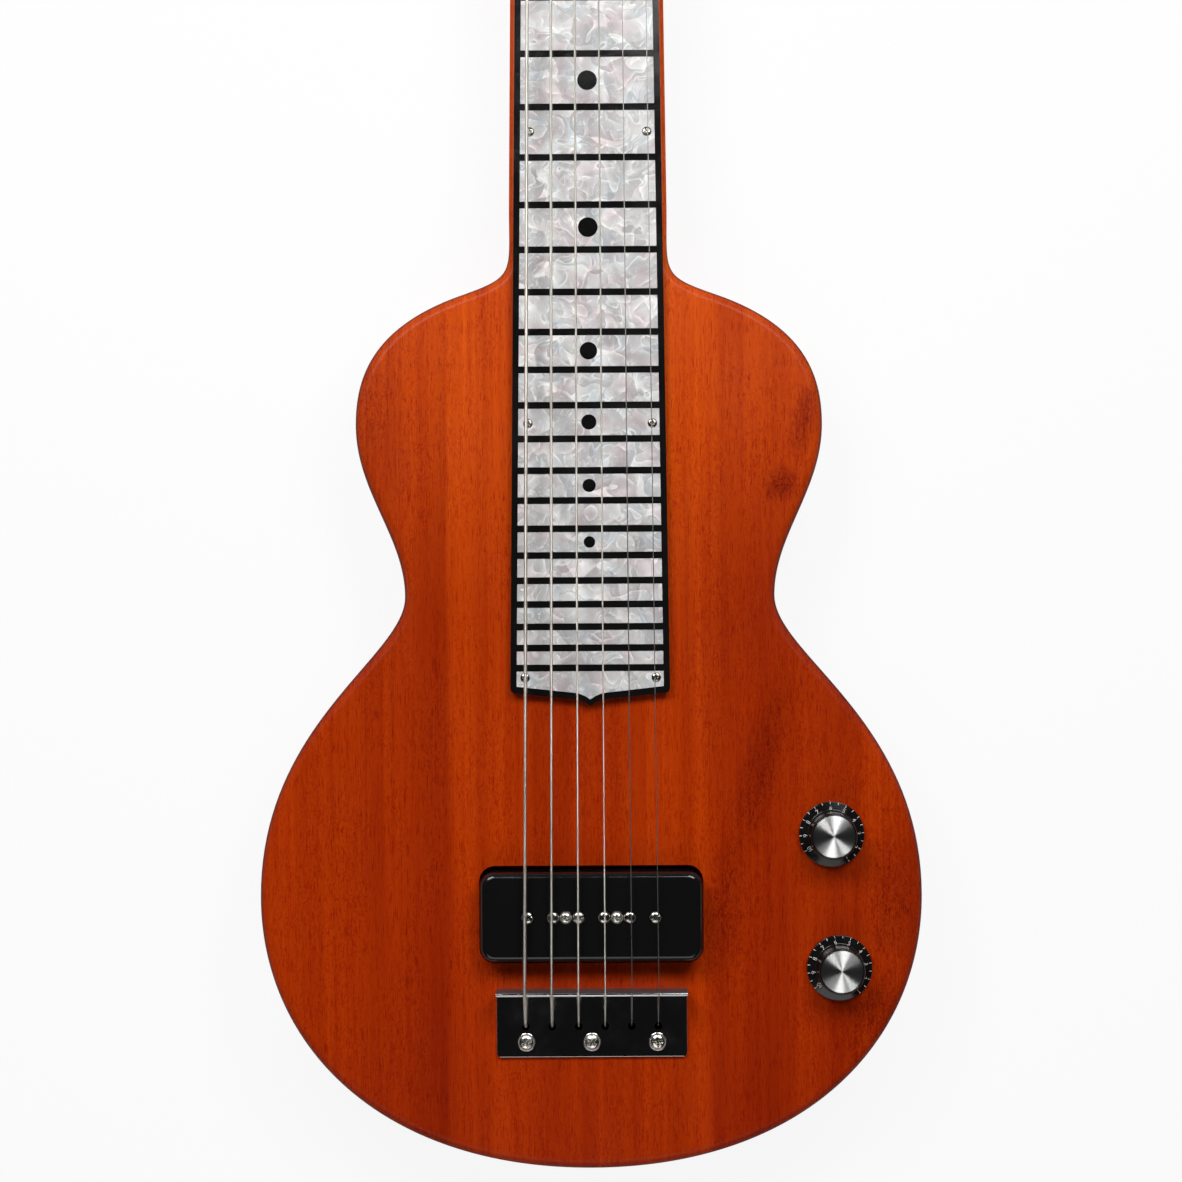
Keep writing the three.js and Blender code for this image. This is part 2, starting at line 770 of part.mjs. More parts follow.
// The bridge is one bent sheet: a foot on the body and a flange with a rounded top.
function bridgePlate() {
  const back = flangeFrontY - bridgeSheet;
  const round = bridgeSheet / 2;
  const bend = (steps, radius, centreY, centreZ, from, to) =>
    Array.from({ length: steps + 1 }, (_, i) => {
      const angle = from + ((to - from) * i) / steps;
      return [centreY + radius * Math.cos(angle), centreZ + radius * Math.sin(angle)];
    });
  const bendY = flangeFrontY - bridgeBend;
  const bendZ = bodyDepth + seatGap + bridgeBend;
  const outline = [
    [flangeFrontY - bridgeLength, bodyDepth + seatGap],
    ...bend(bendSteps, bridgeBend, bendY, bendZ, -Math.PI / 2, 0),
    ...bend(bendSteps, round, saddleY, saddleTopZ - round, 0, Math.PI),
    ...bend(edgeSteps, bridgeBend - bridgeSheet, bendY, bendZ, 0, -Math.PI / 2),
    [flangeFrontY - bridgeLength, bridgeTopZ],
  ];
  const holes = stringX.map((x) => circle(bridgeHoleRadius, x, stringHoleY));
  const screwHoles = bridgeScrewX.map((x) =>
    circle(bridgeScrewShankRadius + screwClearance, x, bridgeScrewY),
  );
  const cutters = [...holes, ...screwHoles].map((hole) =>
    solidOf(plate(hole, bodyDepth - overrun, bridgeTopZ + overrun)),
  );
  return cut(solidOf(bar(outline, bridgeWidth / 2)), cutters);
}

// A round-head screw with a cross recess, its seat at height zero.
function crossScrew(headRadius, headHeight, shankRadius, length) {
  const profile = [
    [0, -length],
    [shankRadius, -length],
    [shankRadius, 0],
    [headRadius, 0],
    ...crownShares.map(([out, up]) => [headRadius * out, headHeight * up]),
  ];
  const [half, reach] = [crossWidth / 2, headRadius * crossReachShare];
  const floor = headHeight - crossDepth;
  return cut(solidOf(turned(profile)), [
    solidOf(block(-half, -reach, floor, half, reach, headHeight + overrun)),
    solidOf(block(-reach, -half, floor, reach, half, headHeight + overrun)),
  ]);
}

// Bar in the back with a stepped hole for each ball end.
function ferruleBar() {
  const outline = [
    [stringHoleY - ferruleBarWidth / 2, 0],
    [stringHoleY + ferruleBarWidth / 2, 0],
    [stringHoleY + ferruleBarWidth / 2, ferruleBarThickness],
    [stringHoleY - ferruleBarWidth / 2, ferruleBarThickness],
  ];
  const seat = ferruleBarThickness - ferruleRoof;
  const cutters = stringX.flatMap((x) => [
    solidOf(plate(circle(ferruleSeatRadius, x, stringHoleY, fewSides), -overrun, seat)),
    solidOf(plate(circle(ferruleHoleRadius, x, stringHoleY, fewSides), 0, ferruleBarThickness + overrun)),
  ]);
  return cut(solidOf(bar(outline, ferruleBarLength / 2)), cutters);
}

function pickup() {
  const shell = softPlate(pickupOutline(0), coverRimZ - pickupEdge, coverTopZ, pickupEdge);
  const cutters = [
    plate(pickupOutline(overrun), coverRimZ - pickupEdge - overrun, coverRimZ),
    plate(pickupOutline(-pickupWall), coverRimZ - overrun, coverTopZ - pickupWall),
  ];
  for (const x of poleX) {
    cutters.push(plate(circle(poleHeadRadius + runningGap, x, pickupY), coverRimZ, coverTopZ + overrun));
  }
  for (const x of pickupScrewX) {
    const hole = circle(pickupScrewShankRadius + screwClearance, x, pickupY, fewSides);
    cutters.push(plate(hole, coverRimZ, coverTopZ + overrun));
  }
  addPiece('pickup_cover', cut(solidOf(shell), cutters.map(solidOf)), blackPlastic);

  const drills = [
    ...poleX.map((x) => circle(poleShankRadius + screwClearance, x, pickupY, fewSides)),
    ...pickupScrewX.map((x) => circle(pickupScrewShankRadius + screwClearance, x, pickupY, fewSides)),
  ];
  const racetrack = (inset) =>
    roundedRectangle(
      -coilLength / 2 + inset,
      pickupY - coilWidth / 2 + inset,
      coilLength / 2 - inset,
      pickupY + coilWidth / 2 - inset,
      coilWidth / 2 - inset - inlayGap,
      edgeSteps,
    );
  const coilTopZ = coverRimZ + coilHeight;
  const coil = union([
    solidOf(plate(racetrack(0), coverRimZ + seatGap, coverRimZ + coilFlange)),
    solidOf(plate(racetrack(coilInset), coverRimZ + seatGap, coilTopZ)),
    solidOf(plate(racetrack(0), coilTopZ - coilFlange, coilTopZ)),
  ]);
  const through = (low, high) => drills.map((hole) => solidOf(plate(hole, low - overrun, high + overrun)));
  addPiece('pickup_coil', cut(coil, through(coverRimZ, coilTopZ)), copperWire);

  const sheet = plate(pickupOutline(0), routeFloorZ, coverRimZ - seatGap, drills);
  addPiece('pickup_baseplate', sheet, nickel);

  poleX.forEach((x, index) => {
    const low = routeFloorZ - coverTopZ;
    const seat = poleHeadProud - poleHeadHeight;
    const profile = [
      [0, low],
      [poleShankRadius, low],
      [poleShankRadius, seat],
      [poleHeadRadius, seat],
      [poleHeadRadius, poleHeadProud - poleEdge],
      [poleHeadRadius - poleEdge, poleHeadProud],
      [0, poleHeadProud],
    ];
    const slot = block(
      -poleHeadRadius - overrun,
      -poleSlotWidth / 2,
      poleHeadProud - poleSlotDepth,
      poleHeadRadius + overrun,
      poleSlotWidth / 2,
      poleHeadProud + overrun,
    );
    const pole = cut(solidOf(turned(profile)), [solidOf(slot)]);
    const mesh = addPiece(`pole_screw_${index + 1}`, pole, nickel);
    mesh.position.set(x, pickupY, coverTopZ);
    mesh.rotation.z = 2 * Math.PI * poleTurnShares[index];
  });
  pickupScrewX.forEach((x, index) => {
    const screw = crossScrew(
      pickupScrewHeadRadius,
      pickupScrewHeadHeight,
      pickupScrewShankRadius,
      pickupScrewLength,
    );
    addPiece(`pickup_screw_${index + 1}`, screw, nickel).position.set(x, pickupY, coverTopZ);
  });
}

// A closed wire of given radii along a path. Its frame is carried along, so that it never twists.
function wire(points, radii) {
  const rings = [];
  const across = new THREE.Vector3(1, 0, 0);
  points.forEach((point, i) => {
    const before = points.slice(0, i).reverse().find((other) => other.distanceTo(point) > weldDistance);
    const after = points.slice(i + 1).find((other) => other.distanceTo(point) > weldDistance);
    const tangent = new THREE.Vector3();
    if (before) tangent.add(point.clone().sub(before).normalize());
    if (after) tangent.add(after.clone().sub(point).normalize());
    tangent.normalize();
    across.addScaledVector(tangent, -across.dot(tangent)).normalize();
    const up = across.clone().cross(tangent);
    const ringPoints = [];
    for (let s = 0; s < stringSides; s += 1) {
      const angle = (2 * Math.PI * s) / stringSides;
      const corner = point
        .clone()
        .addScaledVector(across, radii[i] * Math.cos(angle))
        .addScaledVector(up, radii[i] * Math.sin(angle));
      ringPoints.push(corner.toArray());
    }
    rings.push(ringPoints);
  });
  return skin(rings);
}

// Least gap between windings that lie at least half a turn apart.
function leastWindingGap(points, diameter) {
  let least = Infinity;
  points.forEach((point, i) => {
    for (let j = i + windingSteps / 2; j < points.length; j += 1) {
      least = Math.min(least, point.distanceTo(points[j]) - diameter);
    }
  });
  return least;
}

// Outer strings run to the near posts, inner strings to the far ones.
const stringRow = [0, 1, 2, 2, 1, 0];
const stringSide = [-1, -1, -1, 1, 1, 1];

// One string: ball end, up through the body, over the saddle and the nut, and round its post.
function string(index) {
  const diameter = diameters[index];
  const radius = diameter / 2;
  const x = stringX[index];
  const ballTopZ = ferruleBarThickness - ferruleRoof - runningGap;
  const points = [];
  const radii = [];
  const add = (px, py, pz, r = radius) => {
    points.push(new THREE.Vector3(px, py, pz));
    radii.push(r);
  };
  add(x, stringHoleY, ballTopZ - ballEndLength, ballEndRadius);
  add(x, stringHoleY, ballTopZ, ballEndRadius);
  add(x, stringHoleY, ballTopZ);
  add(x, stringHoleY, bridgeTopZ);

  const round = bridgeSheet / 2 + stringGap + radius;
  const crestZ = saddleTopZ - bridgeSheet / 2;
  const toCrest = Math.hypot(saddleY - stringHoleY, crestZ - bridgeTopZ);
  const climb = Math.atan2(crestZ - bridgeTopZ, saddleY - stringHoleY) + Math.asin(round / toCrest);
  const crestSteps = 3;
  for (let i = 0; i <= crestSteps; i += 1) {
    const angle = Math.PI / 2 + climb * (1 - i / crestSteps);
    add(x, saddleY + round * Math.cos(angle), crestZ + round * Math.sin(angle));
  }

  const runZ = crestZ + round;
  const nutX = stringNutX[index];
  add(nutX, nutY, runZ);
  add(nutX, nutY + nutLand, runZ);

  const side = stringSide[index];
  const postX = side * tunerPostX;
  const postY = tunerY[stringRow[index]];
  const wrapRadius = postRadius + runningGap + radius;
  const distance = Math.hypot(postX - nutX, postY - nutY - nutLand);
  const heading = Math.atan2(postY - nutY - nutLand, postX - nutX);
  const meet = heading + side * Math.asin(wrapRadius / distance);
  const startAngle = meet + (side * Math.PI) / 2;
  const pitch = diameter + windingGap;
  const endZ = headFaceZ + postHeight - postHoleDrop;
  const winding = [];
  for (let i = 0; i <= windingTurns * windingSteps; i += 1) {
    const turn = i / windingSteps;
    const angle = startAngle - side * 2 * Math.PI * turn;
    const height = endZ - pitch * (windingTurns - turn);
    add(postX + wrapRadius * Math.cos(angle), postY + wrapRadius * Math.sin(angle), height);
    winding.push(points[points.length - 1]);
  }
  const gap = leastWindingGap(winding, diameter);
  console.log(`string_${index + 1}: least gap between its windings ${gap.toFixed(2)} mm`);
  addPiece(`string_${index + 1}`, wire(points, radii), index < woundStrings ? nickel : steel);
}

function controls() {
  const names = ['upper', 'lower'];
  names.forEach((name, i) => {
    const place = new THREE.Group();
    place.position.set(knobX[i], knobY[i], 0);
    guitar.add(place);

    const low = bodyDepth + knobGap;
    const top = bodyDepth + knobHeight;
    const shaftTopZ = low + potShaftInKnob;
    const boreRadius = potShaftRadius + runningGap;
    const hollowZ = bodyDepth + knobHollowHeight;
    const capSeatZ = top - capInset - capThickness;
    const shell = [
      [0, shaftTopZ + runningGap],
      [boreRadius, shaftTopZ + runningGap],
      [boreRadius, hollowZ],
      [potNutRadius + runningGap, hollowZ],
      [potNutRadius + runningGap, low],
      [knobSkirtRadius, low],
      [knobSkirtRadius, low + knobRimHeight],
      [knobNeckRadius + knobEdge, bodyDepth + knobSkirtHeight],
      [knobNeckRadius, bodyDepth + knobSkirtHeight + knobEdge],
      [knobNeckRadius - knobDraft, top - knobEdge],
      [knobNeckRadius - knobEdge, top],
      [capRadius + inlayGap, top],
      [capRadius + inlayGap, capSeatZ],
      [0, capSeatZ],
    ];
    addPiece(`knob_${name}`, turned(shell, fineSides), blackPlastic, place);
    const cap = rod(capRadius, capSeatZ, capSeatZ + capThickness, fineSides);
    addPiece(`knob_cap_${name}`, cap, aluminium, place);

    const canZ = cavityTopZ - potHeight;
    const nutTopZ = bodyDepth + potNutHeight;
    const shaftLowZ = canZ + potShaftSunk;
    const pot = [
      [0, canZ],
      [potRadius, canZ],
      [potRadius, cavityTopZ - seatGap],
      [potBushingRadius, cavityTopZ - seatGap],
      [potBushingRadius, bodyDepth + seatGap],
      [potNutRadius, bodyDepth + seatGap],
      [potNutRadius, nutTopZ],
      [boreRadius, nutTopZ],
      [boreRadius, shaftLowZ - runningGap],
      [0, shaftLowZ - runningGap],
    ];
    addPiece(`potentiometer_${name}`, turned(pot), steel, place);
    addPiece(`pot_shaft_${name}`, rod(potShaftRadius, shaftLowZ, shaftTopZ), brass, place);

    if (name === 'lower') {
      const capacitor = rod(capacitorRadius, -capacitorLength / 2, capacitorLength / 2);
      capacitor.rotateX(Math.PI / 2).translate(0, 0, canZ - runningGap - capacitorRadius);
      addPiece('tone_capacitor', capacitor, creamPlastic, place);
    }
  });
  addPiece('control_cover', plate(cavityOutline(coverLip - coverGap), 0, coverThickness), blackPlastic);

  const bore = [
    [0, jackFaceX - jackBarrelLength],
    [jackBarrelRadius, jackFaceX - jackBarrelLength],
    [jackBarrelRadius, jackFaceX],
    [jackBoreRadius, jackFaceX],
    [jackBoreRadius, jackFaceX - jackBoreDepth],
    [0, jackFaceX - jackBoreDepth],
  ];
  const socket = turned(bore, fineSides).rotateY(Math.PI / 2).translate(0, jackY, jackZ);
  addPiece('jack_socket', socket, chrome);
  const collar = ring(jackBarrelRadius + runningGap, jackNutRadius, jackFloorX, jackFaceX, fineSides);
  addPiece('jack_nut', collar.rotateY(Math.PI / 2).translate(0, jackY, jackZ), chrome);
}

// Half thickness of a rack-shaped tooth at a height above its pitch line.
function halfTooth(height) {
  const flank = Math.tan(THREE.MathUtils.degToRad(flankDegrees));
  return (toothPitch / 2 - toothBacklash / 2) / 2 - height * flank;
}

// The wheel's teeth lean by the worm's lead, so each level of the rim is turned a little.
function wormWheel() {
  const lean = toothPitch / (2 * Math.PI * wormPitchRadius) / wheelPitchRadius;
  const corners = [
    [-toothDedendum, -1],
    [toothAddendum, -1],
    [toothAddendum, 1],
    [-toothDedendum, 1],
  ];
  const rings = [wheelLowZ, wheelTopZ].map((z) => {
    const rim = [];
    for (let tooth = 0; tooth < wheelTeeth; tooth += 1) {
      const middle = (2 * Math.PI * (tooth + 0.5)) / wheelTeeth - Math.PI / 2 + lean * (z - axisZ);
      for (const [height, flank] of corners) {
        const radius = wheelPitchRadius + height;
        const angle = middle + (flank * halfTooth(height)) / radius;
        rim.push([radius * Math.cos(angle), radius * Math.sin(angle), z]);
      }
    }
    return rim;
  });
  return solidOf(skinWithHubs(rings));
}

// A toothed disc: its two flat sides are fans round a point on the axis.
function skinWithHubs(rings) {
  const positions = [];
  const [low, high] = rings;
  const count = low.length;
  for (let j = 0; j < count; j += 1) {
    const next = (j + 1) % count;
    const [lowHub, highHub] = [[0, 0, low[0][2]], [0, 0, high[0][2]]];
    positions.push(...low[j], ...low[next], ...high[next], ...low[j], ...high[next], ...high[j]);
    positions.push(...lowHub, ...low[next], ...low[j], ...highHub, ...high[j], ...high[next]);
  }
  const geometry = new THREE.BufferGeometry();
  geometry.setAttribute('position', new THREE.Float32BufferAttribute(positions, 3));
  return geometry;
}

// The post carries its wheel at the back and the string in front, through a cross hole.
function tunerPost() {
  const topZ = headFaceZ + postHeight;
  const holeZ = topZ - postHoleDrop;
  const waist = postRadius - postWaistDepth;
  const waistLowZ = headFaceZ + bushingHeight + postDome;
  const profile = [
    [0, wheelLowZ - wheelBoltHeight],
    [wheelBoltRadius, wheelLowZ - wheelBoltHeight],
    [postRadius, wheelTopZ - postDome],
    [postRadius, waistLowZ],
    [waist, waistLowZ + postDome],
    [waist, holeZ + postDome],
    [postRadius, topZ - postDome],
    [postRadius - postDome, topZ],
    [0, topZ],
  ];
  const hole = rod(postHoleRadius, -postRadius - overrun, postRadius + overrun, holeSides);
  hole.rotateY(Math.PI / 2).translate(0, 0, holeZ);
  return cut(union([solidOf(turned(profile)), wormWheel()]), [solidOf(hole)]);
}

// The worm is a shaft with one helical thread, between two ears, and a button on its outer end.
function tunerButton() {
  const half = wormLength / 2;
  const footHalf = halfTooth(-toothDedendum - threadSunk);
  const tipHalf = halfTooth(toothAddendum);
  const stepsPerTurn = fewSides;
  const steps = Math.floor(((wormLength - 2 * footHalf) / toothPitch) * stepsPerTurn);
  const rings = [];
  for (let i = 0; i <= steps; i += 1) {
    const turn = i / stepsPerTurn - steps / stepsPerTurn / 2;
    const angle = 2 * Math.PI * turn;
    const corners = [
      [-footHalf, wormRootRadius - threadSunk],
      [-tipHalf, wormRadius],
      [tipHalf, wormRadius],
      [footHalf, wormRootRadius - threadSunk],
    ];
    rings.push(
      corners.map(([along, radius]) => [
        toothPitch * turn + along,
        radius * Math.cos(angle),
        radius * Math.sin(angle),
      ]),
    );
  }
  const earX = half + runningGap;
  const outerX = earX + earThickness + runningGap;
  const profile = [
    [0, -earX - earThickness - runningGap],
    [shaftRadius, -earX - earThickness - runningGap],
    [shaftRadius, -half],
    [wormRootRadius, -half],
    [wormRootRadius, half],
    [shaftRadius, half],
    [shaftRadius, outerX],
    [collarRadius, outerX],
    [collarRadius, outerX + earThickness],
    [shaftRadius, outerX + earThickness],
    [shaftRadius, buttonDistance + buttonEdge],
    [0, buttonDistance + buttonEdge],
  ];
  const shaft = solidOf(turned(profile, fewSides).rotateY(Math.PI / 2));
  const oval = new THREE.EllipseCurve(
    buttonDistance + buttonLength / 2,
    0,
    buttonLength / 2,
    buttonWidth / 2,
  );
  const [low, high] = [-buttonThickness / 2, buttonThickness / 2];
  const button = softPlate(oval.getPoints(ovalSteps).slice(1), low, high, buttonEdge, 1);
  return union([shaft, solidOf(skin(rings)), solidOf(button)]);
}

function tunerPlate() {
  const strip = plate(
    roundedRectangle(
      tunerPostX - plateWidth / 2,
      Math.min(...tunerY) - plateOverhang,
      tunerPostX + plateWidth / 2,
      Math.max(...tunerY) + plateOverhang,
      plateCorner,
      edgeSteps,
    ),
    plateBackZ,
    headBackZ - seatGap,
  );
  const earLowZ = plateBackZ - earHeight;
  const solids = [solidOf(strip)];
  const cutters = [];
  for (const y of tunerY) {
    const wormY = y - gearDistance;
    const outline = [
      [wormY - earWidth / 2, plateBackZ + plateThickness / 2],
      [wormY - earWidth / 2, earLowZ + earThickness],
      [wormY - earTipWidth / 2, earLowZ],
      [wormY + earTipWidth / 2, earLowZ],
      [wormY + earWidth / 2, earLowZ + earThickness],
      [wormY + earWidth / 2, plateBackZ + plateThickness / 2],
    ];
    for (const side of [-1, 1]) {
      const x = tunerPostX + side * (wormLength / 2 + runningGap + earThickness / 2);
      solids.push(solidOf(bar(outline, earThickness / 2).translate(x, 0, 0)));
    }
    const reach = wormLength / 2 + earThickness + overrun;
    const [from, to] = [tunerPostX - reach, tunerPostX + reach];
    const bore = rodAlongX(shaftRadius + runningGap, from, to, wormY, axisZ, fewSides);
    const hole = rod(postRadius + runningGap, plateBackZ - overrun, headBackZ + overrun);
    cutters.push(solidOf(bore), solidOf(hole.translate(tunerPostX, y, 0)));
  }
  return cut(union(solids), cutters);
}

// The bass side is the mirror image of the treble side.
function mirrored(shape) {
  const geometry = geometryOf(shape).toNonIndexed();
  const position = geometry.attributes.position;
  for (let i = 0; i < position.count; i += 3) {
    const corners = [0, 2, 1].map((k) => new THREE.Vector3().fromBufferAttribute(position, i + k));
    corners.forEach((corner, k) => position.setXYZ(i + k, -corner.x, corner.y, corner.z));
  }
  geometry.computeVertexNormals();
  return geometry;
}

function tuners() {
  const handed = (shape, side) => (side < 0 ? mirrored(shape) : shape);
  const bushing = [
    [postRadius + runningGap, headFaceZ - bushingSleeve],
    [bushingSleeveRadius, headFaceZ - bushingSleeve],
    [bushingSleeveRadius, headFaceZ + seatGap],
    [bushingRadius, headFaceZ + seatGap],
    [bushingRadius - bushingEdge, headFaceZ + bushingHeight],
    [postRadius + runningGap, headFaceZ + bushingHeight],
    [postRadius + runningGap, headFaceZ - bushingSleeve],
  ];
  const post = tunerPost();
  const button = tunerButton();
  const strip = tunerPlate();
  addPiece('tuner_plate_left', handed(strip, -1), nickel);
  addPiece('tuner_plate_right', handed(strip, 1), nickel);
  stringSide.forEach((side, index) => {
    const [x, y] = [side * tunerPostX, tunerY[stringRow[index]]];
    const number = index + 1;
    addPiece(`tuner_post_${number}`, handed(post, side), nickel).position.set(x, y, 0);
    addPiece(`tuner_bushing_${number}`, turned(bushing, fewSides), nickel).position.set(x, y, 0);
    const turner = addPiece(`tuner_button_${number}`, handed(button, side), creamPlastic);
    turner.position.set(x, y - gearDistance, axisZ);
  });
}

addPiece('body', body(), mahogany);
fretboard();
addPiece('nut', nut(), nickel);
addPiece('bridge_plate', bridgePlate(), chrome);
bridgeScrewX.forEach((x, index) => {
  const screw = crossScrew(
    bridgeScrewHeadRadius,
    bridgeScrewHeadHeight,
    bridgeScrewShankRadius,
    bridgeScrewLength,
  );
  addPiece(`bridge_screw_${index + 1}`, screw, chrome).position.set(x, bridgeScrewY, bridgeTopZ);
});
addPiece('string_ferrule_bar', ferruleBar(), nickel);
pickup();
diameters.forEach((_, index) => string(index));
controls();
tuners();

export default guitar;
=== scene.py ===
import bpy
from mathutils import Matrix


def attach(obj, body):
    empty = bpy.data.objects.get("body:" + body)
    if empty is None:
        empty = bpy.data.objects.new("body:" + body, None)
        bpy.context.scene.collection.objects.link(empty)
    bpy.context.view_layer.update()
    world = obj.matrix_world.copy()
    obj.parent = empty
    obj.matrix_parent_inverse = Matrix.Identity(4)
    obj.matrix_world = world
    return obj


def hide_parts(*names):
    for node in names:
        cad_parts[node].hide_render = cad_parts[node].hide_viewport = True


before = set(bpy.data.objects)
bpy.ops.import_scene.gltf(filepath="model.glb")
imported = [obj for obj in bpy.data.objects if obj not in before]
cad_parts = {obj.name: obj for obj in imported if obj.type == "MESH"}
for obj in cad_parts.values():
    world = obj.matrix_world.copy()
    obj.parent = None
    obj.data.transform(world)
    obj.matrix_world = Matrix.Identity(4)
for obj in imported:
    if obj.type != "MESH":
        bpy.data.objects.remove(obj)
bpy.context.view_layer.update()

import math

import bmesh
import bpy
import mathutils
import numpy as np

# Studio. The guitar lies on its back on a white table under three soft boxes, two over the neck and one
# beyond the tail. Nothing is lit straight overhead, so flat metal and gloss plastic look black.
MM = 0.001
AIM = (0, 0.16, 0.04)
REACH = 60.0

scene = bpy.context.scene
scene.view_settings.view_transform = "Standard"

camera_lens = bpy.data.cameras.new("overhead_camera")
camera_lens.sensor_width = 36
camera_lens.lens = 78.33
camera_lens.clip_end = 200
overhead_camera = bpy.data.objects.new("overhead_camera", camera_lens)
overhead_camera.location = (0.5 * MM, 154.86 * MM, 1040 * MM)
overhead_camera.rotation_euler = (0, 0, -0.0053)
scene.collection.objects.link(overhead_camera)
scene.camera = overhead_camera


def soft_box(name, place, width, length, power):
    """A rectangular lamp at a place in metres, turned to face the strings over the middle of the body."""
    lamp = bpy.data.lights.new(name, "AREA")
    lamp.shape = "RECTANGLE"
    lamp.size = width
    lamp.size_y = length
    lamp.energy = power
    box = bpy.data.objects.new(name, lamp)
    away = mathutils.Vector(place) - mathutils.Vector(AIM)
    box.location = place
    box.rotation_euler = away.to_track_quat("Z", "Y").to_euler()
    box.visible_camera = False
    scene.collection.objects.link(box)


soft_box("soft_box_left", (-0.283, 0.55, 0.64), width=0.36, length=0.30, power=3.3)
soft_box("soft_box_right", (0.254, 0.55, 0.64), width=0.36, length=0.30, power=3.0)
soft_box("soft_box_tail", (-0.05, -0.56, 0.66), width=0.80, length=0.45, power=1.6)


def fed(socket, value):
    """Feeds an input: a socket is linked into it, and a number, vector or colour is set on it."""
    if isinstance(value, bpy.types.NodeSocket):
        socket.id_data.links.new(value, socket)
    elif socket.type == "RGBA":
        socket.default_value = (*value, 1)
    else:
        socket.default_value = value


def add(kind, tree=None, **settings):
    """A node of that kind, in the tree of the first socket that feeds it where no tree is named. A
    setting in_x feeds the input of that name or number."""
    if tree is None:
        tree = next(v.id_data for v in settings.values() if isinstance(v, bpy.types.NodeSocket))
    node = tree.nodes.new(("" if kind.startswith("NodeGroup") else "ShaderNode") + kind)
    for key, value in settings.items():
        if key.startswith("in_"):
            which = key[3:]
            fed(node.inputs[int(which) if which.isdigit() else which.replace("_", " ")], value)
        else:
            setattr(node, key, value)
    return node


def maths(operation, *values):
    """A Math node over sockets or numbers."""
    feeds = {f"in_{number}": value for number, value in enumerate(values)}
    return add("Math", operation=operation, **feeds).outputs[0]


def remapped(value, start, end, low=0.0, high=1.0, **settings):
    """A number that goes from low to high as the value goes from start to end, and no further."""
    return add("MapRange", in_0=value, in_1=start, in_2=end, in_3=low, in_4=high, **settings).outputs[0]


world = bpy.data.worlds.new("studio_room")
world.use_nodes = True
scene.world = world
room = world.node_tree
upward = add("SeparateXYZ", in_0=add("TexCoord", room).outputs["Generated"]).outputs["Z"]
darker_up = remapped(upward, 0.06, 0.40, 0.25, 0.006, interpolation_type="SMOOTHSTEP")
fed(room.nodes["Background"].inputs["Color"], darker_up)

table_mesh = bpy.data.meshes.new("table_top")
table_mesh.from_pydata(
    [(-REACH, -REACH, 0), (REACH, -REACH, 0), (REACH, REACH, 0), (-REACH, REACH, 0)], [], [(0, 1, 2, 3)]
)
table_top = bpy.data.objects.new("table_top", table_mesh)
table_top.location = (0, 0, -0.4 * MM)
scene.collection.objects.link(table_top)

# The table is lit paper to the lamps, almost plain white to the camera and in reflections, and clear from
# below, so that the back of the guitar can be seen.
table_white = bpy.data.materials.new("table_white")
table_white.use_nodes = True
tree = table_white.node_tree
tree.nodes.clear()
ray = add("LightPath", tree).outputs
seen = maths("MAXIMUM", ray["Is Camera Ray"], ray["Is Glossy Ray"])
seen = maths("MAXIMUM", seen, ray["Is Transmission Ray"])
white_share = maths("MULTIPLY", seen, 0.90)
paper = add("BsdfDiffuse", tree, in_Color=(0.90, 0.90, 0.90)).outputs[0]
glow = add("Emission", tree).outputs[0]
from_above = add("MixShader", in_0=white_share, in_1=paper, in_2=glow).outputs[0]
backfacing = add("NewGeometry", tree).outputs["Backfacing"]
clear = add("BsdfTransparent", tree).outputs[0]
either_side = add("MixShader", in_0=backfacing, in_1=from_above, in_2=clear).outputs[0]
add("OutputMaterial", in_Surface=either_side)
table_mesh.materials.append(table_white)

# Body. One plank of ribbon mahogany, sawn to the outline, its edges rounded over, with the neck and the
# dropped head cut from the same wood, then stained orange red and lacquered to a satin gloss.
BODY_DEPTH = 40.0
BODY_EDGE = 4.0
SHOULDER_Y = 270.4
HEEL_START_Y = 286.0
NECK_START_Y = 303.0
HEEL_END_Y = 316.0
NECK_MARGIN = 1.95
NECK_BACK = 12.0
NUT_Y = 579.2
HEAD_START_Y = 588.3
HEAD_STEP = 12.0
HEAD_FLARE = 22.0
HEAD_END_Y = 729.2
HEAD_FACE = 36.0
HEAD_BACK = 21.0
TAIL_BOARD_Y = 117.82


def bezier(p0, p1, p2, p3, steps):
    """Cubic curve (1-t)^3 p0 + 3(1-t)^2 t p1 + 3(1-t)t^2 p2 + t^3 p3, without its first point."""
    t = np.linspace(0, 1, steps + 1)[1:, None]
    p0, p1, p2, p3 = (np.array(p, float) for p in (p0, p1, p2, p3))
    return (1 - t) ** 3 * p0 + 3 * (1 - t) ** 2 * t * p1 + 3 * (1 - t) * t**2 * p2 + t**3 * p3


def smooth_step(value, start, end):
    """3s^2 - 2s^3 of the share s of the way from start to end."""
    s = np.clip((value - start) / (end - start), 0, 1)
    return s * s * (3 - 2 * s)


def board_half(y):
    """Half width of the fretboard: straight from 30.9 at the tail to 25.65 at the nut."""
    return np.interp(y, [TAIL_BOARD_Y, NUT_Y], [30.9, 25.65])


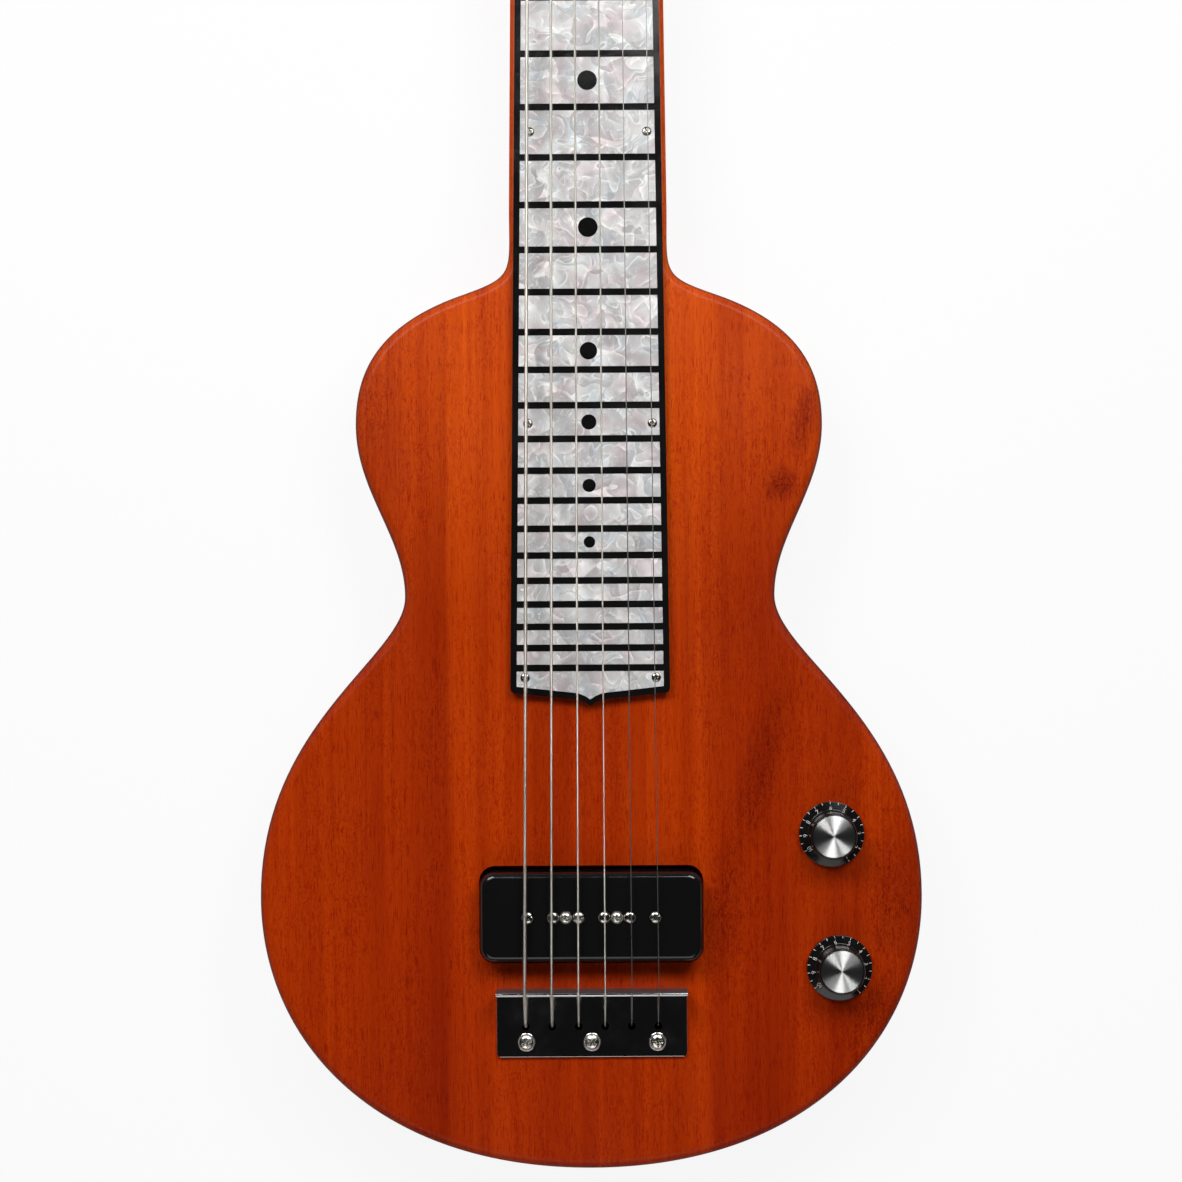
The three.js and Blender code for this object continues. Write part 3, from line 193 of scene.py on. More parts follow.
def body_outline():
    """Right half of the plan, tail to head: cubic curves whose handles are shares of their boxes."""

    def box(start, end, out_share, in_share, out_x, in_x, steps):
        (x0, y0), (x1, y1) = start, end
        first = (x0 + out_share * (x1 - x0), y0) if out_x else (x0, y0 + out_share * (y1 - y0))
        second = (x1 - in_share * (x1 - x0), y1) if in_x else (x1, y1 - in_share * (y1 - y0))
        return bezier(start, first, second, end, steps)

    tail, lower, waist, upper = (0, -70.2), (129, 36), (72.1, 152.9), (91, 219.8)
    shoulder = np.array([49.8, SHOULDER_Y])
    neck = np.array([board_half(NECK_START_Y) + NECK_MARGIN, NECK_START_Y])
    slope = 0.335
    along = np.array([-math.cos(slope), math.sin(slope)])
    to_shoulder = np.linalg.norm(shoulder - upper)
    to_neck = np.linalg.norm(neck - shoulder)
    past_upper = (upper[0], upper[1] + 0.354 * (shoulder[1] - upper[1]))
    before_neck = (neck[0], neck[1] - 0.757 * (neck[1] - shoulder[1]))
    neck_end = (board_half(HEAD_START_Y) + NECK_MARGIN, HEAD_START_Y)
    head_side = (38.0, HEAD_START_Y + HEAD_FLARE)
    head_corner = (35.0, HEAD_END_Y - 13)
    straight = np.linspace(0, 1, 61)[1:, None]
    return np.vstack(
        [
            [tail],
            box(tail, lower, 0.639, 0.547, True, False, 70),
            box(lower, waist, 0.583, 0.198, False, False, 40),
            box(waist, upper, 0.351, 0.387, False, False, 36),
            bezier(upper, past_upper, shoulder - along * 0.575 * to_shoulder, shoulder, 30),
            bezier(shoulder, shoulder + along * 0.593 * to_neck, before_neck, neck, 24),
            neck + straight * (np.array(neck_end) - neck),
            box(neck_end, head_side, 0.45, 0.5, False, False, 20),
            head_side + straight[::4] * (np.array(head_corner) - np.array(head_side)),
            [head_corner],
            box(head_corner, (0, HEAD_END_Y), 0.35, 0.5, False, True, 30),
        ]
    )


def body_rings():
    """Cross sections of the plank: each outline point carries a quarter circle at the back, one at the
    face, and their mirror image, all set in along the outline's normal by e (1 - sin u)."""
    plan = body_outline()
    x, y = plan[:, 0], plan[:, 1]
    run = np.gradient(plan, axis=0)
    run /= np.linalg.norm(run, axis=1)[:, None]
    run[0], run[-1] = (1, 0), (-1, 0)
    normal = np.stack([run[:, 1], -run[:, 0]], axis=1)
    at_head = smooth_step(y, HEAD_START_Y, HEAD_START_Y + HEAD_FLARE)
    at_heel = smooth_step(y, HEEL_START_Y, HEEL_END_Y)
    dropped = smooth_step(y, HEAD_START_Y, HEAD_START_Y + HEAD_STEP)
    face = BODY_DEPTH - (BODY_DEPTH - HEAD_FACE) * dropped
    back = NECK_BACK * at_heel + (HEAD_BACK - NECK_BACK) * at_head
    face_edge = BODY_EDGE - 2 * smooth_step(y, SHOULDER_Y, NECK_START_Y) - 0.5 * at_head
    back_edge = BODY_EDGE + 5 * at_heel - 7.5 * at_head
    up = np.linspace(0, math.pi / 2, 12)
    over = up[::-1]
    back, face, back_edge, face_edge = (row[:, None] for row in (back, face, back_edge, face_edge))
    inset = np.hstack([back_edge * (1 - np.sin(up)), face_edge * (1 - np.sin(over))])
    height = np.hstack([back + back_edge * (1 - np.cos(up)), face - face_edge * (1 - np.cos(over))])
    out_x = np.maximum(0, x[:, None] - normal[:, :1] * inset)
    out_y = y[:, None] - normal[:, 1:] * inset
    right = np.stack([out_x, out_y, height], axis=2)
    left = right[:, ::-1] * np.array([-1, 1, 1])
    return np.concatenate([right, left], axis=1)


def skin(name, rings, along=None):
    """A closed surface over rings[i, j] in mm: quads between neighbours, the last column joined to the
    first, and a flat face over each end. Rings drawn to a point or a line close by themselves. The
    lengths in along, one for each ring, are kept on the mesh as an attribute."""
    count, around = rings.shape[:2]
    i, j = np.meshgrid(np.arange(count - 1), np.arange(around), indexing="ij")
    after = (j + 1) % around
    quads = np.stack(
        [i * around + j, i * around + after, (i + 1) * around + after, (i + 1) * around + j], axis=2
    ).reshape(-1, 4)
    faces = quads.tolist()
    faces.append(list(range(around))[::-1])
    faces.append(list(range((count - 1) * around, count * around)))
    mesh = bpy.data.meshes.new(name)
    mesh.from_pydata((rings.reshape(-1, 3) * MM).tolist(), [], faces)
    if along is not None:
        layer = mesh.attributes.new("along", "FLOAT", "POINT")
        layer.data.foreach_set("value", np.repeat(along, around).astype(np.float32))
    welded(mesh)
    piece = bpy.data.objects.new(name, mesh)
    scene.collection.objects.link(piece)
    return piece


def welded(mesh):
    """Doubles merged, empty faces dropped and every face turned outwards."""
    work = bmesh.new()
    work.from_mesh(mesh)
    bmesh.ops.remove_doubles(work, verts=work.verts, dist=1e-6)
    bmesh.ops.dissolve_degenerate(work, edges=work.edges, dist=1e-7)
    bmesh.ops.recalc_face_normals(work, faces=work.faces)
    work.to_mesh(mesh)
    work.free()


def smoothed(piece, crease=32):
    """Smooth shading, with edges sharper than the crease kept crisp and large faces ruling the normals."""
    mesh = piece.data
    mesh.polygons.foreach_set("use_smooth", np.ones(len(mesh.polygons), bool))
    mesh.set_sharp_from_angle(angle=math.radians(crease))
    weighted = piece.modifiers.new("even_shading", "WEIGHTED_NORMAL")
    weighted.keep_sharp = True
    return piece


def prism(name, outline, low, high, axis="z"):
    """A straight block over a closed outline, from low to high along z, or along x for (y, z) points."""
    outline = np.array(outline, float)
    ends = np.array([low, high], float)[:, None]
    flat = np.broadcast_to(outline, (2, *outline.shape))
    level = np.broadcast_to(ends, (2, len(outline)))[:, :, None]
    parts = [flat, level] if axis == "z" else [level, flat]
    return skin(name, np.concatenate(parts, axis=2))


def all_round(sides):
    """The angles of a full turn in equal steps, without its end."""
    return np.linspace(0, 2 * math.pi, sides, endpoint=False)


def bore(radius, x, y, low, high, sides=24, axis="z"):
    """A round cutter over points (x + r cos a, y + r sin a), from low to high along its axis."""
    a = all_round(sides)
    outline = np.stack([x + radius * np.cos(a), y + radius * np.sin(a)], axis=1)
    return prism("cut", outline, low, high, axis)


def pocket(min_x, min_y, max_x, max_y, corner, low, high):
    """A cutter over a rounded rectangle."""
    return prism("cut", rounded_rectangle(min_x, min_y, max_x, max_y, corner), low, high)


def bores(radius, row, y, low, high, sides=24):
    """A round cutter at each x of a row."""
    return [bore(radius, x, y, low, high, sides) for x in row]


def rounded_rectangle(min_x, min_y, max_x, max_y, corner, steps=10):
    """Four quarter circles of the corner's radius, joined by straight sides."""
    a = np.linspace(0, math.pi / 2, steps + 1)[None, :] + np.arange(4)[:, None] * math.pi / 2
    centre_x = np.array([max_x - corner, min_x + corner, min_x + corner, max_x - corner])[:, None]
    centre_y = np.array([max_y - corner, max_y - corner, min_y + corner, min_y + corner])[:, None]
    x, y = centre_x + corner * np.cos(a), centre_y + corner * np.sin(a)
    return np.stack([x.ravel(), y.ravel()], axis=1)


def carved(piece, *groups):
    """The piece less each group of cutters. The cutters of one group never touch each other."""
    for group in groups:
        cutter = group[0]
        if len(group) > 1:
            joined = bpy.data.meshes.new("cutter")
            corners, faces, start = [], [], 0
            for one in group:
                corners += [v.co[:] for v in one.data.vertices]
                faces += [[start + k for k in f.vertices] for f in one.data.polygons]
                start += len(one.data.vertices)
            joined.from_pydata(corners, [], faces)
            cutter = bpy.data.objects.new("cutter", joined)
            scene.collection.objects.link(cutter)
        cut = piece.modifiers.new("cut", "BOOLEAN")
        cut.operation = "DIFFERENCE"
        cut.solver = "EXACT"
        cut.object = cutter
        applied(piece)
        for one in {cutter, *group}:
            bpy.data.objects.remove(one)


def applied(piece):
    """The piece with its modifiers worked into its mesh."""
    bpy.context.view_layer.update()
    done = bpy.data.meshes.new_from_object(piece.evaluated_get(bpy.context.evaluated_depsgraph_get()))
    piece.modifiers.clear()
    piece.data = done
    return piece


STRING_X = np.linspace(-25.75, 25.75, 6)
STRING_HOLE_Y = -14.2
BRIDGE_SCREW_X = (-25.5, 0.0, 25.5)
BRIDGE_SCREW_Y = -20.2
PICKUP_Y = 29.2
PICKUP_SCREW_X = (-9.84, 9.84)
KNOBS = {"upper": (93.4, 60.0), "lower": (96.2, 8.1)}
JACK_Y, JACK_Z = 34.0, 20.0
POST_X = (-23.0, -23.0, -23.0, 23.0, 23.0, 23.0)
POST_Y = (622.0, 657.0, 692.0, 692.0, 657.0, 622.0)

plank = skin("mahogany_body", body_rings())
pickup_route = pocket(-43.6, 10.25, 43.6, 48.15, 6.1, 31.38, 42)
cavity = pocket(72, -4, 107, 73, 7, -2, 34)
bar_seat = pocket(-31.3, -19, 31.3, -9.4, 0.6, -2, 4.02)
jack_recess = bore(10, JACK_Y, JACK_Z, 125.78, 131, 64, "x")
post_holes = [bore(4.6, x, y, 19, 38, 40) for x, y in zip(POST_X, POST_Y)]
cover_seat = pocket(68, -8, 111, 77, 11, -2, 2.02)
jack_bore = bore(6.65, JACK_Y, JACK_Z, 105, 131, 48, "x")
string_holes = bores(1.6, STRING_X, STRING_HOLE_Y, 3, 42)
shaft_holes = [bore(4.9, x, y, 32, 42, 40) for x, y in KNOBS.values()]
screw_holes = bores(2.2, BRIDGE_SCREW_X, BRIDGE_SCREW_Y, 25, 42)
screw_holes += bores(1.6, PICKUP_SCREW_X, PICKUP_Y, 20, 33)
carved(
    plank,
    [pickup_route, cavity, bar_seat, jack_recess, *post_holes],
    [cover_seat, jack_bore, *string_holes, *shaft_holes, *screw_holes],
)


def shader(name, **sockets):
    """A material of one Principled shader, its plain values set on the shader's own sockets. Returns the
    material, the shader and a socket with the place on the object."""
    made = bpy.data.materials.new(name)
    made.use_nodes = True
    principled = made.node_tree.nodes["Principled BSDF"]
    for label, value in sockets.items():
        fed(principled.inputs[label.replace("_", " ").title().replace("Ior", "IOR")], value)
    return made, principled, add("TexCoord", made.node_tree).outputs["Object"]


def noise(place, stretch, detail=3.0, roughness=0.55, distortion=0.0):
    """Noise whose features measure stretch = (x, y, z) in mm. Returns its value, from 0 to 1."""
    grid = add("Mapping", in_Vector=place, in_Scale=tuple(1 / (MM * size) for size in stretch))
    look = {"in_Detail": detail, "in_Roughness": roughness, "in_Distortion": distortion}
    return add("TexNoise", in_Vector=grid.outputs[0], in_Scale=1.0, **look).outputs[0]


def ramp(value, *stops):
    """A colour ramp over stops of (place, colour), where a plain number is a grey."""
    made = add("ValToRGB", in_0=value)
    stops_now = made.color_ramp.elements
    while len(stops_now) < len(stops):
        stops_now.new(0.5)
    for element, (place, colour) in zip(stops_now, stops):
        element.position = place
        element.color = (*colour, 1) if isinstance(colour, tuple) else (colour, colour, colour, 1)
    return made.outputs["Color"]


def mixed(kind, share, first, second):
    """Two colours mixed in the given way. Each is a socket or a colour."""
    made = add("Mix", data_type="RGBA", blend_type=kind, in_0=share, in_6=first, in_7=second)
    return made.outputs[2]


def toned(colour, tone, share=1.0):
    """The colour multiplied by a tone, as far as the share goes."""
    return mixed("MULTIPLY", share, colour, tone)


def bumped(principled, height, distance, strength=1.0):
    """The height, in mm of relief, as a bump of the shader's normal."""
    bump = add("Bump", in_Strength=strength, in_Distance=distance * MM, in_Height=height)
    fed(principled.inputs["Normal"], bump.outputs[0])


# Dark patches, dark figure in the wood and painted shade round the knobs: x, y, half width and half length
# in mm, lean in degrees, and depth of tone.
DARK_FIGURE_AND_KNOB_SHADE = (
    (64.5, 82, 10, 48, 15, 0.80),
    (52, 28, 10, 36, 7, 0.65),
    (118, 36, 18, 38, 0, 0.65),
    (113, -12, 24, 22, -30, 0.70),
    (84, 222, 6, 18, 12, 0.95),
    (75, 196, 8, 9, 40, 1.0),
    (-96, 60, 22, 60, -8, 0.20),
    (-84, 218, 14, 46, 0, 0.42),
)
PATCH_DEPTH = 12.0
BAND_WANDER = 6.0
RIM_SCALE = 10.0

mahogany, principled, place = shader("mahogany", specular_ior_level=0.10)
axes = add("SeparateXYZ", in_0=place).outputs

# Ribbons along the grain, and painted light, which makes the wood lighter and oranger towards the neck,
# where the lamps fall stronger.
ribbons = noise(place, (13, 520, 60), detail=2, distortion=0.25)
wood = ramp(
    ribbons,
    (0.30, (0.410, 0.0310, 0.0008)),
    (0.50, (0.490, 0.0430, 0.0010)),
    (0.70, (0.575, 0.0560, 0.0014)),
)
painted_neck_light = ramp(
    remapped(axes["Y"], -0.07, 0.30),
    (0.0, (0.92, 0.72, 0.7)),
    (0.35, (0.91, 0.80, 0.8)),
    (0.58, (0.84, 0.76, 0.9)),
    (0.80, (1.10, 1.32, 1.6)),
    (1.0, (1.16, 1.50, 2.0)),
)

# Broad dark bands over the width of the plank, with edges that wander and fade towards the neck.
wander = noise(place, (60, 300, 90), detail=1)
centred = maths("ADD", axes["X"], -BAND_WANDER / 2 * MM)
across = maths("MULTIPLY_ADD", wander, BAND_WANDER * MM, centred)
band_tone = ramp(
    remapped(across, -0.13, 0.13),
    (0.17, 1.0),
    (0.22, (0.87, 0.80, 0.9)),
    (0.282, (0.75, 0.63, 0.8)),
    (0.287, (1.05, 1.10, 1.1)),
    (0.42, 1.0),
    (0.66, (1.02, 1.05, 1.0)),
    (0.725, (0.82, 0.70, 0.8)),
    (0.755, (0.82, 0.70, 0.8)),
    (0.83, (0.97, 0.96, 1.0)),
)
band_share = ramp(noise(place, (75, 170, 90), detail=1), (0.30, 0.35), (0.6, 1.0))
band_share = maths("MULTIPLY", band_share, remapped(axes["Y"], 0.245, 0.165, 0.30))

# Fine streaks, short flames across the grain, and open pores.
streaks = noise(place, (1.5, 75, 9), roughness=0.6)
streak_tone = ramp(streaks, (0.30, (0.90, 0.76, 0.8)), (0.52, 1.0), (0.72, (1.06, 1.14, 1.1)))
flames = noise(place, (1.1, 2.6, 3.0), distortion=1.6)
flame_tone = ramp(flames, (0.34, (0.80, 0.58, 0.7)), (0.49, 1.0), (0.70, (1.07, 1.20, 1.2)))
flame_share = ramp(noise(place, (13, 60, 40), detail=2), (0.36, 0.25), (0.58, 1.0))
pores = noise(place, (0.40, 6.5, 2.2), detail=2, roughness=0.5)
pore_tone = ramp(pores, (0.31, (0.62, 0.34, 0.4)), (0.42, 1.0), (0.6, (1.02, 1.07, 1.1)))
for tone, share in (
    (painted_neck_light, 1.0),
    (band_tone, band_share),
    (streak_tone, 1.0),
    (flame_tone, flame_share),
    (pore_tone, 0.8),
):
    wood = toned(wood, tone, share)

mottle = ramp(flames, (0.34, 1.0), (0.58, 0.45))
# Each patch darkens the wood: dark figure, and painted shade where the patches lie round the knobs.
for x, y, half_width, half_length, lean, depth in DARK_FIGURE_AND_KNOB_SHADE:
    over = add(
        "Mapping",
        vector_type="TEXTURE",
        in_Vector=place,
        in_Location=(x * MM, y * MM, BODY_DEPTH * MM),
        in_Rotation=(0, 0, -math.radians(lean)),
        in_Scale=(half_width * MM, half_length * MM, PATCH_DEPTH * MM),
    )
    patch = add("TexGradient", gradient_type="SPHERICAL", in_Vector=over.outputs[0])
    patch_darkness = ramp(patch.outputs["Fac"], (0.0, 0.0), (0.75, depth))
    wood = toned(wood, (0.40, 0.16, 0.4), maths("MULTIPLY", patch_darkness, mottle))

# The rounded rim has painted shade from 1 to 9 mm below the face, and is rubbed dull over its upper 3 mm.
face_height = remapped(
    axes["Y"],
    HEAD_START_Y * MM,
    (HEAD_START_Y + HEAD_STEP) * MM,
    BODY_DEPTH * MM,
    HEAD_FACE * MM,
    interpolation_type="SMOOTHSTEP",
)
below_face = maths("SUBTRACT", face_height, axes["Z"])
below_face = maths("MULTIPLY", below_face, 1 / (RIM_SCALE * MM))
rim_shade_colour = (0.34, 0.22, 0.4)
painted_rim_shade = ramp(below_face, (0.11, 1.0), (0.22, rim_shade_colour), (0.50, rim_shade_colour), (0.90, (0.95, 0.92, 1.0)))
wood = toned(wood, painted_rim_shade)
rubbed = ramp(below_face, (0.01, 0.0), (0.04, 0.22), (0.3, 0.22), (0.4, 0.0))

# The wood under the bridge, where the string holes run, gets no light.
past_tail_edge = remapped(axes["Y"], (STRING_HOLE_Y - 4) * MM, (STRING_HOLE_Y - 3) * MM)
before_front_edge = remapped(axes["Y"], (STRING_HOLE_Y + 4) * MM, (STRING_HOLE_Y + 3) * MM)
between_ends = remapped(maths("ABSOLUTE", axes["X"]), 31 * MM, 30 * MM)
in_hole = maths("MULTIPLY", past_tail_edge, before_front_edge)
in_hole = maths("MULTIPLY", in_hole, between_ends)
wood = toned(wood, (0.05, 0.05, 0.05), in_hole)
fed(principled.inputs["Base Color"], wood)

haze_tone = ramp(noise(place, (26, 40, 26), detail=4), (0.3, 0.27), (0.7, 0.36))
fed(principled.inputs["Roughness"], maths("ADD", haze_tone, rubbed))
bumped(principled, pore_tone, 0.01, 0.3)


def painted(piece, finish):
    """Gives a piece its finish as its only material."""
    piece.data.materials.clear()
    piece.data.materials.append(finish)


def fit(piece, body, slot, finish, *nodes):
    """Gives a finished piece its material, the body it rides on and the solids it replaces. The slot is not
    used.
    """
    painted(piece, finish)
    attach(piece, body)
    if nodes:
        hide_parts(*nodes)


fit(smoothed(plank), "root", "mahogany", mahogany, "body")

# Fretboard. A black board with a sheet of pearl celluloid let into it. The lines and the border are one
# black ladder flush with the sheet, the dots come up through it, and ten small screws hold the board.
DOTS = (3, 5, 7, 9, 12, 15, 17, 19, 21)
BOARD_TOP = 44.0
SCALE = 584.2
SADDLE_SHIFT = 5
SCRATCH_DEPTH = 0.004


def handling_marks():
    """Group: smudges of a size in mm change roughness between two values, and hair scratches are cut in."""
    group = bpy.data.node_groups.new("handling_marks", "ShaderNodeTree")
    face = group.interface
    face.new_socket("Vector", in_out="INPUT", socket_type="NodeSocketVector")
    for label in ("Clean", "Smudged", "Smudge Size", "Scratch"):
        face.new_socket(label, in_out="INPUT", socket_type="NodeSocketFloat")
    for label in ("Roughness", "Height"):
        face.new_socket(label, in_out="OUTPUT", socket_type="NodeSocketFloat")
    start = add("NodeGroupInput", group).outputs
    place = start["Vector"]
    per_metre = maths("DIVIDE", 1000.0, start["Smudge Size"])
    smudge = add("TexNoise", in_Vector=place, in_Scale=per_metre, in_Detail=4.0, in_Roughness=0.6)
    roughness = remapped(smudge.outputs[0], 0.42, 0.68, start["Clean"], start["Smudged"])
    hairs = None
    for angle, stretch in ((0.5, (0.16, 9, 9)), (-0.8, (0.2, 7, 7)), (1.4, (0.18, 12, 12))):
        across = add("Mapping", in_Vector=place, in_Rotation=(0, 0, angle)).outputs[0]
        hair = maths("GREATER_THAN", noise(across, stretch, detail=1), 0.72)
        hairs = hair if hairs is None else maths("MAXIMUM", hairs, hair)
    height = maths("MULTIPLY", hairs, maths("MULTIPLY", start["Scratch"], -1.0))
    add("NodeGroupOutput", in_Roughness=roughness, in_Height=height)
    return group


HANDLING = handling_marks()


def handled(principled, place, clean, smudged, size, scratch):
    """Smudges and hair scratches on a material, through the shared group."""
    marks = add(
        "Group",
        node_tree=HANDLING,
        in_Vector=place,
        in_Clean=clean,
        in_Smudged=smudged,
        in_Smudge_Size=size,
        in_Scratch=scratch,
    )
    fed(principled.inputs["Roughness"], marks.outputs["Roughness"])
    bumped(principled, marks.outputs["Height"], SCRATCH_DEPTH)


def pushed_about(place, swirl, swirl_size):
    """The place moved by up to half the swirl, in mm, in a direction that smooth noise gives."""
    drift = add("TexNoise", in_Vector=place, in_Scale=1000 / swirl_size, in_Detail=0.8)
    return mixed("LINEAR_LIGHT", swirl * MM, place, drift.outputs["Color"])


def flakes(place, size):
    """Flakes of a size in mm. Returns each flake's random colour, and its shade, from 0 to 1, which
    slopes across the flake in a random direction."""
    cells = add(
        "TexVoronoi", feature="SMOOTH_F1", in_Vector=place, in_Scale=1000 / size, in_Smoothness=0.12
    ).outputs
    out = add("VectorMath", operation="SUBTRACT", in_0=place, in_1=cells["Position"]).outputs[0]
    heading = add("VectorMath", operation="SUBTRACT", in_0=cells["Color"], in_1=(0.5, 0.5, 0.5))
    slope = add("VectorMath", operation="DOT_PRODUCT", in_0=out, in_1=heading.outputs[0])
    return cells["Color"], maths("MULTIPLY_ADD", slope.outputs["Value"], 1100 / size, 0.5)


def folds(place, size, count):
    """Sheets folded over one another: the fraction of count . noise, which climbs from 0 to 1 between
    two level lines of the noise and drops at each of them."""
    level = noise(place, (size, size, size), detail=0.7, distortion=0.35)
    return maths("FRACT", maths("MULTIPLY", level, count))


pearl, principled, place = shader("pearl_celluloid", specular_ior_level=0.45)
swept_place = pushed_about(place, 10.0, 13.0)
flake_colour, flake_shade = flakes(swept_place, 11.0)
large_folds = folds(pushed_about(place, 5.0, 9.0), 14.0, 6.0)
small_folds = folds(swept_place, 8.0, 5.0)
large_light = ramp(large_folds, (0.0, 0.20), (0.45, 0.30), (0.80, 0.62), (0.96, 1.0), (1.0, 0.45))
small_light = ramp(small_folds, (0.0, 0.25), (0.55, 0.34), (0.84, 0.64), (0.97, 1.0), (1.0, 0.40))
small_share = ramp(noise(place, (9, 9, 9), detail=1), (0.42, 0.0), (0.58, 1.0))
fold_light = mixed("MIX", small_share, large_light, small_light)
faded = ramp(noise(swept_place, (4, 4, 4), detail=1.5), (0.40, 0.80), (0.56, 0.0))
fold_light = mixed("MIX", faded, fold_light, (0.40, 0.40, 0.40))
flake_light = ramp(flake_shade, (0.0, 0.12), (0.5, 0.40), (1.0, 0.90))
flake_part = maths("MULTIPLY", flake_light, 0.55)
both = maths("ADD", flake_part, maths("MULTIPLY", fold_light, 0.45))
tone = ramp(
    both,
    (0.16, (0.370, 0.358, 0.370)),
    (0.34, (0.525, 0.517, 0.525)),
    (0.50, (0.730, 0.728, 0.725)),
    (0.70, (0.985, 0.985, 0.970)),
)
glints = noise(pushed_about(place, 3.0, 2.5), (1.2, 3.2, 2.0), detail=2, distortion=1.0)
glint_share = ramp(glints, (0.60, 0.0), (0.68, 0.42))
tone = mixed("MIX", glint_share, tone, (0.93, 0.93, 0.92))
tint = ramp(
    noise(pushed_about(place, 6.0, 14.0), (9, 9, 9), detail=1.0),
    (0.34, (1.0, 0.90, 0.905)),
    (0.46, (1.0, 0.975, 0.975)),
    (0.56, (1.0, 1.0, 0.985)),
    (0.68, (0.93, 0.97, 1.0)),
)
fed(principled.inputs["Base Color"], toned(tone, tint))
flake_random = add("SeparateColor", in_0=flake_colour).outputs[2]
fed(principled.inputs["Roughness"], ramp(flake_random, (0, 0.15), (1, 0.28)))
bumped(principled, both, 0.03, 0.15)

black_board, principled, place = shader("black_celluloid", base_color=(0.006, 0.006, 0.006))
handled(principled, place, 0.10, 0.22, 18.0, 0.6)

painted(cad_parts["fretboard_base"], black_board)
painted(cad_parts["fretboard_pearl"], pearl)
painted(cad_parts["fret_lines"], black_board)


def circled(x, y, r, z, a):
    """Rings of points (x + r cos a, y + r sin a, z)."""
    return np.stack([x + r * np.cos(a), y + r * np.sin(a), z + 0 * a], axis=2)


def turned(name, profile, x=0.0, y=0.0, segments=64, soften=0.0):
    """A profile of (radius, height), its inner corners softened, turned about an upright axis."""
    line = eased(np.array(profile, float), soften)
    return skin(name, circled(x, y, line[:, :1], line[:, 1:], all_round(segments)))


def eased(line, radius, steps=4):
    """Each inner corner p of a line becomes (1-t)^2 a + 2(1-t)t p + t^2 b, where a and b lie on its two
    sides at the radius, or nearer where the sides are short."""
    if radius == 0:
        return line
    sides = np.diff(line, axis=0)
    lengths = np.linalg.norm(sides, axis=1)
    unit = sides / lengths[:, None]
    back = np.minimum(radius, 0.45 * np.minimum(lengths[:-1], lengths[1:]))[:, None]
    corner = line[1:-1]
    a, b = corner - back * unit[:-1], corner + back * unit[1:]
    t = np.linspace(0, 1, steps + 1)[None, :, None]
    arcs = (1 - t) ** 2 * a[:, None] + 2 * (1 - t) * t * corner[:, None] + t**2 * b[:, None]
    return np.vstack([line[:1], arcs.reshape(-1, 2), line[-1:]])


def fret_y(number):
    """Place of a fret: scale / 2^(n/12), less the shift of the saddle towards the nut."""
    return SCALE * 2 ** (-number / 12) - SADDLE_SHIFT


for fret in DOTS:
    middle = (fret_y(fret - 1) + fret_y(fret)) / 2
    room_for_dot = fret_y(fret - 1) - fret_y(fret) - 2.5
    radius = min(7.4, 0.54 * room_for_dot) / 2 + 0.12
    shape = [(0, 42.2), (radius, 42.2), (radius, BOARD_TOP + 0.02), (0, BOARD_TOP + 0.04)]
    dot = turned(f"fret_dot_{fret}", shape, 0, middle, 48, soften=0.02)
    fit(smoothed(dot), "root", "black_plastic", black_board)


def driven(x, y, half, reach, soft):
    """How deep a cross recess is at (x, y), from 0 to 1: two arms of that half width and reach."""
    arm = np.clip(0.5 + (half - np.abs(x)) / soft, 0, 1) * np.clip(0.5 + (reach - np.abs(y)) / soft, 0, 1)
    other = np.clip(0.5 + (half - np.abs(y)) / soft, 0, 1) * np.clip(0.5 + (reach - np.abs(x)) / soft, 0, 1)
    return np.maximum(arm, other)


def screw(name, x, y, seat, head, rise, shank, length, turn, slot=False, skirt=0.0, arm=0.09, deep=0.45):
    """A screw on a vertical axis, its head on the seat. Head and shank are radii, and the shank reaches
    down by the length. Over the share q of the head's radius the head is the dome rise (1 - q^2.3)^0.55,
    which starts at the skirt's height. A straight slot or a cross, whose arms are the share arm of the
    head wide, turned by turn, is sunk into it by the share deep of the rise."""
    a = all_round(120)
    q = np.linspace(1, 0, 44)[:, None]
    r = head * q
    px, py = r * np.cos(a), r * np.sin(a)
    cos, sin = math.cos(turn), math.sin(turn)
    ux, uy = px * cos + py * sin, py * cos - px * sin
    if slot:
        hollow = np.clip(0.5 + (0.17 * head - np.abs(ux)) / (0.05 * head), 0, 1)
    else:
        taper = 1 - 0.35 * np.hypot(ux, uy) / head
        hollow = driven(ux, uy, arm * head, 0.55 * head, 0.07 * head) * taper
    dome = seat + skirt + (rise - skirt) * (1 - q**2.3) ** 0.55 - deep * rise * hollow
    shape = np.array([[0, seat - length], [shank, seat - length + shank], [shank, seat], [head, seat]])
    below = circled(x, y, shape[:, :1], shape[:, 1:], a)
    return smoothed(skin(name, np.concatenate([below, circled(x, y, r, dome, a)])), 40)


def metal(name, colour, clean, smudged, size, scratch):
    """A plated or bare metal: full metallic, with smudges, hair scratches and a faint cloudy tarnish."""
    made, principled, place = shader(name, metallic=1.0)
    handled(principled, place, clean, smudged, size, scratch)
    tarnish = ramp(noise(place, (4, 4, 4), detail=5), (0.35, 0.86), (0.6, 1.0))
    fed(principled.inputs["Base Color"], toned(colour, tarnish))
    return made


nickel = metal("nickel_plate", (0.66, 0.63, 0.58), 0.16, 0.30, 9.0, 0.7)
dull_nickel = metal("dull_nickel_plate", (0.42, 0.40, 0.36), 0.16, 0.28, 5.0, 0.7)
bright_nickel = metal("bright_nickel_plate", (0.86, 0.83, 0.77), 0.19, 0.30, 5.0, 0.7)

